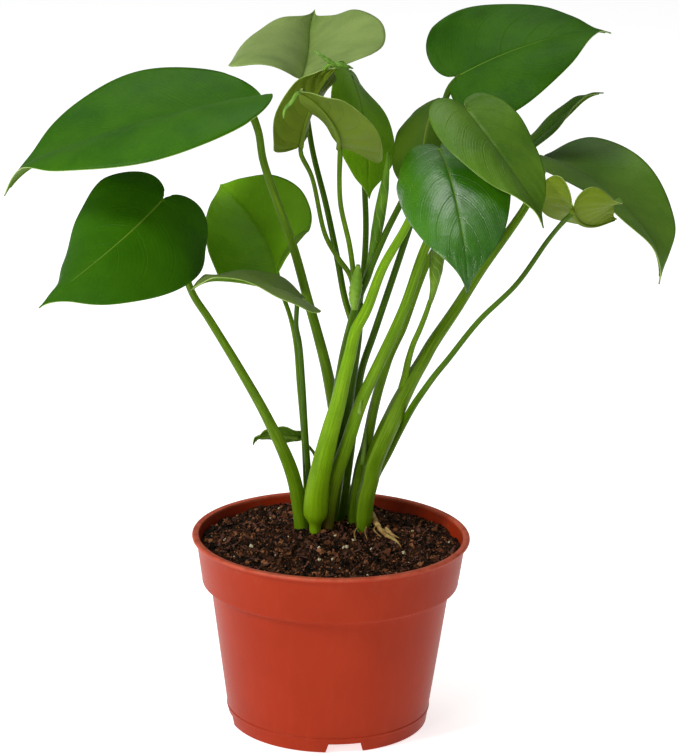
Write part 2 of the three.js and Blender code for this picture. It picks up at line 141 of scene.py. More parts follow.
def catmull_rom(points: Sequence[Point], count: int) -> np.ndarray:
    """A smooth curve through points, at evenly spaced places along it.

    Args:
        points: Points that the curve passes through.
        count: How many places to return.

    Returns:
        A count by 3 array.
    """
    knots = np.array(points, float)
    ends = np.vstack([2 * knots[0] - knots[1], knots, 2 * knots[-1] - knots[-2]])
    dense = []
    for index in range(len(knots) - 1):
        p0, p1, p2, p3 = ends[index:index + 4]
        t = np.linspace(0, 1, 40, endpoint=False)[:, None]
        gaps = [np.linalg.norm(b - a) ** 0.5 for a, b in ((p0, p1), (p1, p2), (p2, p3))]
        m1 = (p2 - p1) + gaps[1] * ((p1 - p0) / gaps[0] - (p2 - p0) / (gaps[0] + gaps[1]))
        m2 = (p2 - p1) + gaps[1] * ((p3 - p2) / gaps[2] - (p3 - p1) / (gaps[1] + gaps[2]))
        dense.append((2 * t**3 - 3 * t**2 + 1) * p1 + (t**3 - 2 * t**2 + t) * m1
                     + (-2 * t**3 + 3 * t**2) * p2 + (t**3 - t**2) * m2)
    curve = np.vstack(dense + [knots[-1:]])
    lengths = np.concatenate([[0.0], np.cumsum(np.linalg.norm(np.diff(curve, axis=0), axis=1))])
    wanted = np.linspace(0, lengths[-1], count)
    return np.stack([np.interp(wanted, lengths, curve[:, k]) for k in range(3)], axis=1)


def carried_axes(curve: np.ndarray, up: Point) -> tuple[np.ndarray, np.ndarray]:
    """Two unit directions square to a curve, carried along it without twisting.

    Args:
        curve: Points of the curve.
        up: A direction that the first one starts near.

    Returns:
        The two directions at each point.
    """
    tangents = np.gradient(curve, axis=0)
    tangents /= np.linalg.norm(tangents, axis=1)[:, None]
    first = np.array(up, float)
    firsts, seconds = [], []
    for tangent in tangents:
        first = first - tangent * (first @ tangent)
        first /= np.linalg.norm(first)
        firsts.append(first)
        seconds.append(np.cross(tangent, first))
    return np.array(firsts), np.array(seconds)


# --------------------------------------------------------------------------- shader tools
class Shader:
    """A material's node tree with short ways to add and join nodes."""

    def __init__(self, tree: bpy.types.NodeTree) -> None:
        """Starts on an empty node tree."""
        self.tree = tree
        self.tree.nodes.clear()

    def node(self, kind: str, inputs: dict | None = None, **settings: object) -> bpy.types.Node:
        """Adds a node.

        Args:
            kind: The node's type name.
            inputs: Values or sockets for its inputs, by name or number.
            settings: Attributes of the node itself.

        Returns:
            The node.
        """
        made = self.tree.nodes.new(kind)
        for key, value in settings.items():
            setattr(made, key, value)
        for key, value in (inputs or {}).items():
            if isinstance(value, bpy.types.NodeSocket):
                self.tree.links.new(value, made.inputs[key])
            else:
                made.inputs[key].default_value = value
        return made

    def math(self, operation: str, *values: object) -> bpy.types.NodeSocket:
        """Adds a Math node on values or sockets and gives its result."""
        made = self.node("ShaderNodeMath", operation=operation)
        for index, value in enumerate(values):
            if isinstance(value, bpy.types.NodeSocket):
                self.tree.links.new(value, made.inputs[index])
            else:
                made.inputs[index].default_value = value
        return made.outputs[0]

    def plus(self, first: object, second: object) -> bpy.types.NodeSocket:
        """The sum of two values or sockets."""
        return self.math("ADD", first, second)

    def times(self, first: object, second: object) -> bpy.types.NodeSocket:
        """The product of two values or sockets."""
        return self.math("MULTIPLY", first, second)

    def mix(self, share: object, first: object, second: object) -> bpy.types.NodeSocket:
        """Mixes two colours by a share and gives the result."""
        made = self.node("ShaderNodeMix", data_type="RGBA", clamp_factor=True)
        for index, value in ((0, share), (6, first), (7, second)):
            if isinstance(value, bpy.types.NodeSocket):
                self.tree.links.new(value, made.inputs[index])
            else:
                made.inputs[index].default_value = value
        return made.outputs[2]

    def ramp(self, value: bpy.types.NodeSocket, low: float, high: float,
             to_low: float = 0.0, to_high: float = 1.0) -> bpy.types.NodeSocket:
        """Maps a value from one range to another, clamped, with a smooth step."""
        made = self.node("ShaderNodeMapRange", {0: value, 1: low, 2: high, 3: to_low, 4: to_high},
                         interpolation_type="SMOOTHSTEP")
        return made.outputs[0]

    def noise(self, vector: bpy.types.NodeSocket, scale: float, detail: float = 3.0,
              roughness: float = 0.5) -> bpy.types.NodeSocket:
        """A noise value on a vector."""
        made = self.node("ShaderNodeTexNoise", {"Vector": vector, "Scale": scale, "Detail": detail,
                                                "Roughness": roughness})
        return made.outputs[0]

    def bump(self, height: bpy.types.NodeSocket, distance: float, strength: float = 1.0,
             below: bpy.types.NodeSocket | None = None) -> bpy.types.NodeSocket:
        """A bumped normal from a height in metres times distance."""
        inputs = {"Height": height, "Distance": distance, "Strength": strength}
        if below is not None:
            inputs["Normal"] = below
        return self.node("ShaderNodeBump", inputs).outputs[0]

    def finish(self, **inputs: object) -> None:
        """Adds the Principled BSDF and the output, with inputs by socket name, _ for a space."""
        named = {key.replace("_", " "): value for key, value in inputs.items()}
        surface = self.node("ShaderNodeBsdfPrincipled", named)
        output = self.node("ShaderNodeOutputMaterial")
        self.tree.links.new(surface.outputs[0], output.inputs[0])


def new_material(name: str) -> tuple[bpy.types.Material, Shader]:
    """A new node material and the shader helper on its tree."""
    material = bpy.data.materials.new(name)
    material.use_nodes = True
    return material, Shader(material.node_tree)


class Groups:
    """Node groups shared by several finishes, each built once."""

    made: dict[str, bpy.types.NodeTree] = {}

    @classmethod
    def start(cls, name: str, inputs: dict[str, float | None], outputs: Sequence[str]) -> Shader:
        """Makes an empty group.

        Args:
            name: The group's name.
            inputs: Input names with their defaults; None makes a vector input.
            outputs: Names of the value outputs.

        Returns:
            The shader helper on the group's tree.
        """
        tree = bpy.data.node_groups.new(name, "ShaderNodeTree")
        for key, value in inputs.items():
            kind = "NodeSocketVector" if value is None else "NodeSocketFloat"
            socket = tree.interface.new_socket(key, in_out="INPUT", socket_type=kind)
            if value is not None:
                socket.default_value = value
        for key in outputs:
            tree.interface.new_socket(key, in_out="OUTPUT", socket_type="NodeSocketFloat")
        cls.made[name] = tree
        return Shader(tree)

    @classmethod
    def mottle(cls) -> bpy.types.NodeTree:
        """Soft blotches with a finer grain over them, from 0 to 1."""
        if "mottle" in cls.made:
            return cls.made["mottle"]
        inputs = {"Vector": None, "Blotch": 60.0, "Grain": 900.0, "Share": 0.3}
        shader = cls.start("mottle", inputs, ["Value"])
        source = shader.node("NodeGroupInput")
        wide = shader.noise(source.outputs["Vector"], 1.0)
        shader.tree.links.new(source.outputs["Blotch"], wide.node.inputs["Scale"])
        fine = shader.noise(source.outputs["Vector"], 1.0)
        shader.tree.links.new(source.outputs["Grain"], fine.node.inputs["Scale"])
        rest = shader.math("SUBTRACT", 1.0, source.outputs["Share"])
        total = shader.plus(shader.times(wide, rest),
                            shader.times(fine, source.outputs["Share"]))
        shader.node("NodeGroupOutput", {"Value": shader.ramp(total, 0.3, 0.7)})
        return cls.made["mottle"]

    @classmethod
    def veins(cls) -> bpy.types.NodeTree:
        """Leaf veins on a blade's own map: X across it, Y along it.

        The outputs are masks from 0 to 1: Rib on the midrib, Side on the side veins, Fine on the
        parallel veins between them, Quilt for the swelling between side veins, Edge at the margin.
        """
        if "veins" in cls.made:
            return cls.made["veins"]
        shader = cls.start("veins", {"UV": None, "Pairs": 9.0, "Wander": 0.012},
                           ["Rib", "Side", "Fine", "Quilt", "Edge"])
        source = shader.node("NodeGroupInput")
        parts = shader.node("ShaderNodeSeparateXYZ", {0: source.outputs["UV"]})
        share = shader.math("ABSOLUTE", shader.math("MULTIPLY_ADD", parts.outputs[0], 2.0, -1.0))
        wobble = shader.noise(source.outputs["UV"], 7.0, 2.0)
        shift = shader.times(shader.math("SUBTRACT", wobble, 0.5), source.outputs["Wander"])
        curve = shader.times(shader.math("POWER", share, 2.0), -0.16)
        place = shader.plus(shader.plus(parts.outputs[1], curve), shift)
        phase = shader.times(place, source.outputs["Pairs"])
        offset = shader.math("ABSOLUTE", shader.math("SUBTRACT", shader.math("FRACT", phase), 0.5))
        fade = shader.ramp(share, 1.0, 0.55)
        side = shader.times(shader.ramp(offset, 0.035, 0.0), fade)
        quilt = shader.ramp(offset, 0.0, 0.5)
        many = shader.times(phase, 7.0)
        close = shader.math("ABSOLUTE", shader.math("SUBTRACT", shader.math("FRACT", many), 0.5))
        fine = shader.ramp(close, 0.22, 0.0)
        width = shader.math("MULTIPLY_ADD", parts.outputs[1], -0.013, 0.022)
        rib = shader.ramp(shader.math("DIVIDE", share, width), 1.0, 0.45)
        edge = shader.ramp(share, 0.975, 0.995)
        shader.node("NodeGroupOutput", {"Rib": rib, "Side": side, "Fine": fine, "Quilt": quilt, "Edge": edge})
        return cls.made["veins"]

    @staticmethod
    def place(shader: Shader, tree: bpy.types.NodeTree, inputs: dict) -> bpy.types.Node:
        """Adds a group node to a material with its input values."""
        node = shader.node("ShaderNodeGroup", node_tree=tree)
        for key, value in inputs.items():
            if isinstance(value, bpy.types.NodeSocket):
                shader.tree.links.new(value, node.inputs[key])
            else:
                node.inputs[key].default_value = value
        return node


def object_vector(shader: Shader) -> bpy.types.NodeSocket:
    """The piece's own coordinates in metres."""
    return shader.node("ShaderNodeTexCoord").outputs["Object"]


def map_vector(shader: Shader) -> bpy.types.NodeSocket:
    """The piece's own UV map."""
    return shader.node("ShaderNodeTexCoord").outputs["UV"]


# --------------------------------------------------------------------------- finishes
@dataclass(frozen=True)
class Finish:
    """A material that is built once, under its own name, for all the pieces that share it."""

    name: str

    def material(self) -> bpy.types.Material:
        """The finished material."""
        if self.name in bpy.data.materials:
            return bpy.data.materials[self.name]
        material, shader = new_material(self.name)
        self.paint(shader)
        return material

    def paint(self, shader: Shader) -> None:
        """Adds the finish's own nodes.

        Args:
            shader: The helper on the material's empty tree.
        """
        raise NotImplementedError


@dataclass(frozen=True)
class BladeFinish(Finish):
    """The skin of one side of a leaf blade."""

    deep: Colour
    light: Colour
    rib: Colour
    vein: Colour
    vein_share: float = 0.2
    fine_share: float = 0.1
    roughness: float = 0.42
    coat: float = 0.0
    bump: float = 1.0
    speckle: float = 0.0
    specular: float = 0.1
    rib_share: float = 0.5
    coat_roughness: float = 0.25

    def paint(self, shader: Shader) -> None:
        """Adds the finish's own nodes."""
        here = object_vector(shader)
        veins = Groups.place(shader, Groups.veins(), {"UV": map_vector(shader)})
        blotch = Groups.place(shader, Groups.mottle(), {"Vector": here, "Blotch": 38.0, "Grain": 700.0,
                                                        "Share": 0.25})
        skin = shader.mix(blotch.outputs[0], self.deep, self.light)
        patch = shader.ramp(shader.noise(here, 14.0, 2.0), 0.35, 0.7, 0.0, 0.45)
        skin = shader.mix(patch, skin, self.light)
        fine = shader.times(veins.outputs["Fine"], self.fine_share)
        skin = shader.mix(fine, skin, self.vein)
        side = shader.times(veins.outputs["Side"], self.vein_share)
        skin = shader.mix(side, skin, self.vein)
        skin = shader.mix(shader.times(veins.outputs["Rib"], self.rib_share), skin, self.rib)
        grain = shader.noise(here, 2600.0, 2.0)
        tiny = shader.ramp(grain, 0.35, 0.7, self.roughness - 0.05, self.roughness + 0.14 + self.speckle)
        rough = shader.plus(tiny, shader.times(blotch.outputs[0], 0.08))
        height = shader.times(veins.outputs["Quilt"], 0.7)
        height = shader.plus(height, shader.times(veins.outputs["Fine"], -0.10))
        height = shader.plus(height, shader.times(veins.outputs["Side"], -0.3))
        height = shader.plus(height, shader.times(grain, 0.14 + self.speckle))
        height = shader.plus(height, shader.times(shader.noise(here, 240.0), 0.45))
        height = shader.plus(height, shader.times(shader.noise(here, 46.0), 2.2))
        normal = shader.bump(height, 0.00032, self.bump)
        shader.finish(Base_Color=skin, Roughness=rough, Normal=normal, Coat_Weight=self.coat,
                      Coat_Normal=normal, Coat_Roughness=self.coat_roughness,
                      Specular_IOR_Level=self.specular)


@dataclass(frozen=True)
class MarginFinish(Finish):
    """The thin pale edge of a leaf blade."""

    name: str = "blade_margin"

    def paint(self, shader: Shader) -> None:
        """Adds the finish's own nodes."""
        here = object_vector(shader)
        share = shader.ramp(shader.noise(here, 120.0), 0.35, 0.65)
        colour = shader.mix(share, srgb(128, 158, 62), srgb(160, 186, 92))
        rough = shader.ramp(shader.noise(here, 1500.0), 0.3, 0.7, 0.35, 0.5)
        shader.finish(Base_Color=colour, Roughness=rough)


@dataclass(frozen=True)
class StalkFinish(Finish):
    """The smooth skin of a leaf stalk, paler at its foot."""

    foot: Colour
    middle: Colour
    top: Colour
    ridge: Colour
    brown: float = 0.0
    roughness: float = 0.36

    def paint(self, shader: Shader) -> None:
        """Adds the finish's own nodes."""
        here = object_vector(shader)
        there = map_vector(shader)
        parts = shader.node("ShaderNodeSeparateXYZ", {0: there})
        rising = shader.ramp(parts.outputs[1], 0.02, 0.3)
        colour = shader.mix(rising, self.foot, self.middle)
        colour = shader.mix(shader.ramp(parts.outputs[1], 0.4, 0.95), colour, self.top)
        stretched = shader.node("ShaderNodeVectorMath", {0: there, 1: (22.0, 5.0, 1.0)},
                                operation="MULTIPLY").outputs[0]
        streak = shader.ramp(shader.noise(stretched, 2.2, 4.0), 0.4, 0.66, 0.0, 0.6)
        colour = shader.mix(streak, colour, self.ridge)
        blotch = Groups.place(shader, Groups.mottle(), {"Vector": here, "Blotch": 90.0, "Grain": 1200.0,
                                                        "Share": 0.4})
        darker = shader.mix(0.22, colour, srgb(30, 52, 6))
        colour = shader.mix(blotch.outputs[0], darker, colour)
        edge = shader.node("ShaderNodeAttribute", attribute_name="edge").outputs["Fac"]
        colour = shader.mix(shader.times(edge, 0.75), colour, self.ridge)
        if self.brown > 0:
            low = shader.ramp(parts.outputs[1], self.brown, self.brown * 0.35)
            worn = shader.times(low, shader.ramp(shader.noise(here, 160.0, 4.0), 0.3, 0.6))
            colour = shader.mix(worn, colour, srgb(120, 84, 44))
        grain = shader.noise(here, 1800.0, 2.0)
        rough = shader.ramp(grain, 0.3, 0.7, self.roughness - 0.04, self.roughness + 0.12)
        height = shader.plus(shader.times(shader.noise(stretched, 5.0, 2.0), 0.7),
                             shader.times(grain, 0.3))
        normal = shader.bump(height, 0.00025, 0.8)
        shader.finish(Base_Color=colour, Roughness=rough, Normal=normal, Specular_IOR_Level=0.1)


@dataclass(frozen=True)
class RolledFinish(Finish):
    """The pale skin of a leaf that is still rolled up, with its parallel veins."""

    first: Colour
    second: Colour

    def paint(self, shader: Shader) -> None:
        """Adds the finish's own nodes."""
        here = object_vector(shader)
        parts = shader.node("ShaderNodeSeparateXYZ", {0: map_vector(shader)})
        slant = shader.math("MULTIPLY_ADD", parts.outputs[1], 9.0, shader.times(parts.outputs[0], 5.0))
        wobble = shader.plus(slant, shader.noise(here, 120.0))
        stripe = shader.math("ABSOLUTE", shader.math("SUBTRACT", shader.math("FRACT", wobble), 0.5))
        vein = shader.ramp(stripe, 0.12, 0.0, 0.0, 0.6)
        colour = shader.mix(shader.ramp(shader.noise(here, 90.0), 0.35, 0.65), self.first, self.second)
        colour = shader.mix(vein, colour, srgb(142, 172, 70))
        grain = shader.noise(here, 1600.0, 2.0)
        rough = shader.ramp(grain, 0.3, 0.7, 0.32, 0.46)
        height = shader.plus(vein, shader.times(grain, 0.3))
        shader.finish(Base_Color=colour, Roughness=rough, Normal=shader.bump(height, 0.0003, 0.8),
                      Specular_IOR_Level=0.15)


@dataclass(frozen=True)
class DryFinish(Finish):
    """Dry plant matter: papery sheaths, aerial roots and fibres."""

    first: Colour
    second: Colour
    scale: float = 160.0
    roughness: float = 0.7

    def paint(self, shader: Shader) -> None:
        """Adds the finish's own nodes."""
        here = object_vector(shader)
        share = shader.ramp(shader.noise(here, self.scale, 4.0), 0.35, 0.65)
        colour = shader.mix(share, self.first, self.second)
        tint = shader.node("ShaderNodeAttribute", attribute_name="tint").outputs["Fac"]
        colour = shader.mix(shader.times(tint, 0.5), colour, self.second)
        grain = shader.noise(here, self.scale * 12, 3.0)
        rough = shader.ramp(grain, 0.3, 0.7, self.roughness - 0.12, self.roughness + 0.12)
        shader.finish(Base_Color=colour, Roughness=rough, Normal=shader.bump(grain, 0.0004, 0.8))


@dataclass(frozen=True)
class MixFinish(Finish):
    """Moist potting mix or its clumps, from near black to red brown by each clump's tint."""

    dark: Colour
    brown: Colour
    red: Colour

    def paint(self, shader: Shader) -> None:
        """Adds the finish's own nodes."""
        here = object_vector(shader)
        tint = shader.node("ShaderNodeAttribute", attribute_name="tint").outputs["Fac"]
        rough_noise = shader.noise(here, 420.0, 5.0, 0.65)
        blend = shader.plus(shader.times(tint, 0.75), shader.times(rough_noise, 0.35))
        colour = shader.mix(shader.ramp(blend, 0.28, 0.72), self.dark, self.brown)
        colour = shader.mix(shader.ramp(blend, 0.62, 0.95), colour, self.red)
        speck = shader.ramp(shader.noise(here, 1500.0, 3.0), 0.6, 0.7, 0.0, 0.55)
        colour = shader.mix(speck, colour, srgb(132, 98, 72))
        rough = shader.ramp(rough_noise, 0.3, 0.7, 0.62, 0.92)
        height = shader.plus(rough_noise, shader.times(shader.noise(here, 1800.0, 4.0), 0.5))
        shader.finish(Base_Color=colour, Roughness=rough, Normal=shader.bump(height, 0.0012, 1.0),
                      Specular_IOR_Level=0.12)


@dataclass(frozen=True)
class PotFinish(Finish):
    """Satin moulded plastic in brick red, a little dusty and scuffed, with a painted highlight along the rim.
    """

    name: str = "brick_red_plastic"

    def paint(self, shader: Shader) -> None:
        """Adds the finish's own nodes."""
        here = object_vector(shader)
        blotch = Groups.place(shader, Groups.mottle(), {"Vector": here, "Blotch": 14.0, "Grain": 1600.0,
                                                        "Share": 0.25})
        colour = shader.mix(blotch.outputs[0], srgb(152, 43, 15), srgb(166, 50, 20))
        parts = shader.node("ShaderNodeSeparateXYZ", {0: here})
        flat = shader.node("ShaderNodeCombineXYZ", {0: parts.outputs[0], 1: parts.outputs[1]}).outputs[0]
        flow = shader.node("ShaderNodeVectorMath", {0: flat, 1: shader.node(
            "ShaderNodeCombineXYZ", {2: shader.times(parts.outputs[2], 0.08)}).outputs[0]},
            operation="ADD").outputs[0]
        streak = shader.ramp(shader.noise(flow, 260.0, 3.0), 0.5, 0.75, 0.0, 0.05)
        colour = shader.mix(streak, colour, srgb(190, 84, 58))
        scuff = shader.ramp(shader.noise(here, 75.0, 6.0, 0.7), 0.62, 0.74, 0.0, 0.12)
        colour = shader.mix(scuff, colour, srgb(192, 92, 66))
        tall = parts.outputs[2]
        # Painted highlight: the top of the rim is lightened, unevenly, to a pale pinkish red where it catches
        # the light.
        rim_highlight = shader.times(shader.ramp(tall, 0.1064, 0.1082),
                             shader.ramp(shader.noise(here, 130.0, 3.0), 0.3, 0.6, 0.35, 0.75))
        colour = shader.mix(rim_highlight, colour, srgb(214, 104, 78))
        # Darker, in patches, towards the bottom of the pot.
        patchy = shader.ramp(shader.noise(here, 60.0, 5.0), 0.4, 0.7)
        low_darkening = shader.times(shader.ramp(tall, 0.03, 0.0), patchy)
        colour = shader.mix(shader.times(low_darkening, 0.3), colour, srgb(120, 36, 14))
        dust = shader.times(shader.ramp(parts.outputs[2], 0.095, 0.108),
                           shader.ramp(shader.noise(here, 180.0, 5.0), 0.5, 0.7))
        colour = shader.mix(shader.times(dust, 0.25), colour, srgb(150, 84, 60))
        grain = shader.noise(here, 2200.0, 2.0)
        rough = shader.plus(shader.ramp(grain, 0.3, 0.7, 0.33, 0.45), shader.times(scuff, 0.8))
        height = shader.plus(shader.times(grain, 0.22),
                             shader.times(shader.noise(here, 90.0), 0.6))
        shader.finish(Base_Color=colour, Roughness=rough, Normal=shader.bump(height, 0.0003, 0.6),
                      Specular_IOR_Level=0.1)


class BladeTone(Enum):
    """How the upper and under side of a blade look: names of the two finishes."""

    VIVID = ("vivid_upper", "green_under")
    FRESH = ("fresh_upper", "green_under")
    GLOSSY = ("glossy_upper", "green_under")
    DEEP = ("deep_upper", "green_under")
    CLEAR = ("clear_upper", "green_under")
    DULL = ("dull_upper", "green_under")
    GREY = ("grey_upper", "green_under")
    OLIVE = ("olive_upper", "olive_under")
    LEAFY = ("clear_upper", "olive_under")
    PALE = ("grey_upper", "pale_under")


BLADE_FINISHES = {finish.name: finish for finish in (
    BladeFinish("vivid_upper", srgb(38, 87, 2), srgb(56, 106, 4), srgb(77, 127, 15), srgb(66, 118, 10),
                fine_share=0.08),
    BladeFinish("fresh_upper", srgb(62, 104, 8), srgb(84, 124, 16), srgb(70, 110, 14), srgb(92, 134, 26),
                vein_share=0.14, fine_share=0.12, roughness=0.34, coat=0.08, bump=1.3, speckle=0.03,
                specular=0.24),
    BladeFinish("glossy_upper", srgb(32, 90, 0), srgb(60, 120, 4), srgb(84, 136, 44), srgb(66, 122, 14),
                vein_share=0.12, fine_share=0.09, roughness=0.22, coat=0.75, bump=1.5, speckle=0.06,
                specular=0.4, coat_roughness=0.13),
    BladeFinish("grey_upper", srgb(67, 108, 19), srgb(92, 130, 33), srgb(122, 159, 44), srgb(108, 144, 44),
                vein_share=0.25, fine_share=0.12, roughness=0.4, specular=0.18),
    BladeFinish("deep_upper", srgb(30, 72, 1), srgb(52, 98, 3), srgb(62, 110, 10), srgb(60, 108, 8),
                vein_share=0.18, fine_share=0.12, roughness=0.4, bump=1.2, specular=0.08),
    # Painted light: clear_upper is a brighter copy of the upper side, lightened to offset the shade that
    # falls on the inner blades that use it.
    BladeFinish("clear_upper", srgb(89, 138, 10), srgb(114, 166, 18), srgb(142, 189, 44), srgb(133, 180, 33),
                vein_share=0.3, fine_share=0.12, specular=0.08),
    # Painted sheen: the grey, bluish green of this finish stands in for the whitish gloss that the upper side
    # shows in the light.
    BladeFinish("dull_upper", srgb(103, 131, 55), srgb(136, 160, 81), srgb(122, 149, 64), srgb(149, 171, 95),
                fine_share=0.22, roughness=0.4, specular=0.25),
    BladeFinish("olive_upper", srgb(48, 79, 6), srgb(69, 99, 14), srgb(81, 114, 24), srgb(81, 114, 22),
                vein_share=0.22, fine_share=0.09, roughness=0.44),
    # The yellow-green of the under sides is partly their own paler colour and partly painted light, standing
    # in for light shining through the blade.
    BladeFinish("green_under", srgb(81, 117, 24), srgb(101, 137, 37), srgb(119, 150, 50), srgb(68, 101, 21),
                vein_share=0.35, fine_share=0.13, roughness=0.5),
    BladeFinish("olive_under", srgb(83, 104, 13), srgb(102, 123, 24), srgb(108, 131, 33), srgb(65, 86, 11),
                vein_share=0.45, fine_share=0.16, roughness=0.5),
    BladeFinish("pale_under", srgb(84, 104, 14), srgb(104, 124, 26), srgb(100, 122, 24), srgb(64, 84, 12),
                vein_share=0.45, fine_share=0.2, roughness=0.52, specular=0.06),
)}


class StalkTone(Enum):
    """How green a stalk is: the name of its finish."""

    BRIGHT = "bright_stalk"
    MIDDLE = "middle_stalk"
    DARK = "dark_stalk"
    BROWN_FOOT = "brown_foot_stalk"


STALK_FINISHES = {finish.name: finish for finish in (
    StalkFinish("bright_stalk", srgb(125, 167, 10), srgb(109, 153, 3), srgb(87, 133, 2),
                srgb(146, 186, 28)),
    StalkFinish("middle_stalk", srgb(106, 146, 12), srgb(88, 124, 4), srgb(76, 112, 6),
                srgb(126, 160, 30)),
    StalkFinish("dark_stalk", srgb(88, 120, 10), srgb(62, 98, 1), srgb(54, 88, 1),
                srgb(96, 130, 18)),
    StalkFinish("brown_foot_stalk", srgb(106, 124, 22), srgb(92, 134, 4), srgb(70, 114, 2),
                srgb(134, 168, 32), 0.09),
)}


# --------------------------------------------------------------------------- shape tools
def set_map(piece: bpy.types.Object, places: np.ndarray) -> None:
    """Writes a UV place for each vertex, before any vertices are merged."""
    mesh = piece.data
    corners = np.empty(len(mesh.loops), np.int32)
    mesh.loops.foreach_get("vertex_index", corners)
    mesh.uv_layers.active.data.foreach_set("uv", places[corners].ravel())


def set_attribute(piece: bpy.types.Object, name: str, values: np.ndarray) -> None:
    """Writes one number for each vertex under a name that a material reads."""
    layer = piece.data.attributes.new(name, "FLOAT", "POINT")
    layer.data.foreach_set("value", np.asarray(values, np.float32))


def tube(name: str, centres: np.ndarray, radii: np.ndarray, sides: int, up: Point,
         relief: Callable[[np.ndarray, np.ndarray], np.ndarray] | None = None,
         edge: Callable[[np.ndarray, np.ndarray], np.ndarray] | None = None) -> bpy.types.Object:
    """A closed tube along a curve.

    Args:
        name: Name of the piece.
        centres: Points of the centre line, in millimetres.
        radii: Radius at each of them, in millimetres.
        sides: Faces round the tube.
        up: Direction that angle zero faces.
        relief: Share by which the radius grows at an angle and a share of the length.
        edge: Mask at an angle and a share of the length, kept as the edge attribute.

    Returns:
        The piece.
    """
    centres = np.vstack([centres[:1], centres, centres[-1:]])
    radii = np.concatenate([[1e-6], radii, [1e-6]])
    rows = len(centres)
    piece = grid(name, sides, rows - 1)
    flat = coordinates(piece)
    row = np.rint(flat[:, 1] * (rows - 1)).astype(int)
    angle = flat[:, 0] * 2 * math.pi
    share = np.clip((row - 1) / (rows - 3), 0, 1)
    firsts, seconds = carried_axes(centres[1:-1], up)
    inner = np.clip(row - 1, 0, rows - 3)
    grown = np.ones(len(flat)) if relief is None else 1 + relief(angle, share)
    radius = radii[row] * grown
    points = (centres[row] + firsts[inner] * (np.cos(angle) * radius)[:, None]
              + seconds[inner] * (np.sin(angle) * radius)[:, None])
    set_coordinates(piece, points * MM)
    set_map(piece, np.stack([flat[:, 0], share], axis=1))
    if edge is not None:
        set_attribute(piece, "edge", edge(angle, share))
    weld(piece)
    face_out(piece)
    smooth(piece)
    return piece


def bump_of(angle: np.ndarray, middle: float, width: float) -> np.ndarray:
    """A rounded ridge across angles, one at the middle and falling off within the width."""
    away = (angle - middle + math.pi) % (2 * math.pi) - math.pi
    return np.exp(-(away / width) ** 2)


def give(piece: bpy.types.Object, *materials: bpy.types.Material) -> None:
    """Sets the materials of a piece, in order."""
    piece.data.materials.clear()
    for material in materials:
        piece.data.materials.append(material)


def join(name: str, pieces: Sequence[bpy.types.Object]) -> bpy.types.Object:
    """Joins pieces into the first one, which keeps its materials and gets the name."""
    only(pieces[0])
    for piece in pieces[1:]:
        piece.select_set(True)
    bpy.ops.object.join()
    pieces[0].name = name
    pieces[0].data.name = name
    return pieces[0]


def hand_in(piece: bpy.types.Object, slot: str, *nodes: str) -> None:
    """Fixes a finished piece to the plant's one body and hides the solids of the nodes it stands for."""
    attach(piece, "root")
    if nodes:
        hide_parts(*nodes)
    log.info("%s: %d faces", piece.name, len(piece.data.polygons))


def random_turns(random: np.random.Generator, count: int) -> np.ndarray:
    """Count random rotation matrices."""
    quaternions = random.normal(size=(count, 4))
    quaternions /= np.linalg.norm(quaternions, axis=1)[:, None]
    w, x, y, z = quaternions.T
    return np.stack([
        np.stack([1 - 2 * (y * y + z * z), 2 * (x * y - z * w), 2 * (x * z + y * w)], axis=1),
        np.stack([2 * (x * y + z * w), 1 - 2 * (x * x + z * z), 2 * (y * z - x * w)], axis=1),
        np.stack([2 * (x * z - y * w), 2 * (y * z + x * w), 1 - 2 * (x * x + y * y)], axis=1),
    ], axis=1)


def scatter(name: str, template: bpy.types.Object, places: np.ndarray, turns: np.ndarray,
            scales: np.ndarray, tints: np.ndarray) -> bpy.types.Object:
    """Copies a template to many places in one mesh and removes the template.

    Args:
        name: Name of the new piece.
        template: The piece to copy, a few dozen faces at most.
        places: Where each copy goes, in millimetres.
        turns: Rotation matrix of each copy.
        scales: Size of each copy along its own three axes, in millimetres.
        tints: A number for each copy, kept as the tint attribute.

    Returns:
        The new piece.
    """
    shape = coordinates(template)
    faces = [tuple(face.vertices) for face in template.data.polygons]
    bpy.data.objects.remove(template)
    points = np.einsum("nij,nkj->nki", turns, shape[None] * scales[:, None, :]) + places[:, None, :]
    count = len(shape)
    all_faces = [tuple(corner + count * index for corner in face)
                 for index in range(len(places)) for face in faces]
    mesh = bpy.data.meshes.new(name)
    mesh.from_pydata((points.reshape(-1, 3) * MM).tolist(), [], all_faces)
    mesh.update()
    piece = bpy.data.objects.new(name, mesh)
    bpy.context.scene.collection.objects.link(piece)
    set_attribute(piece, "tint", np.repeat(tints, count))
    return piece


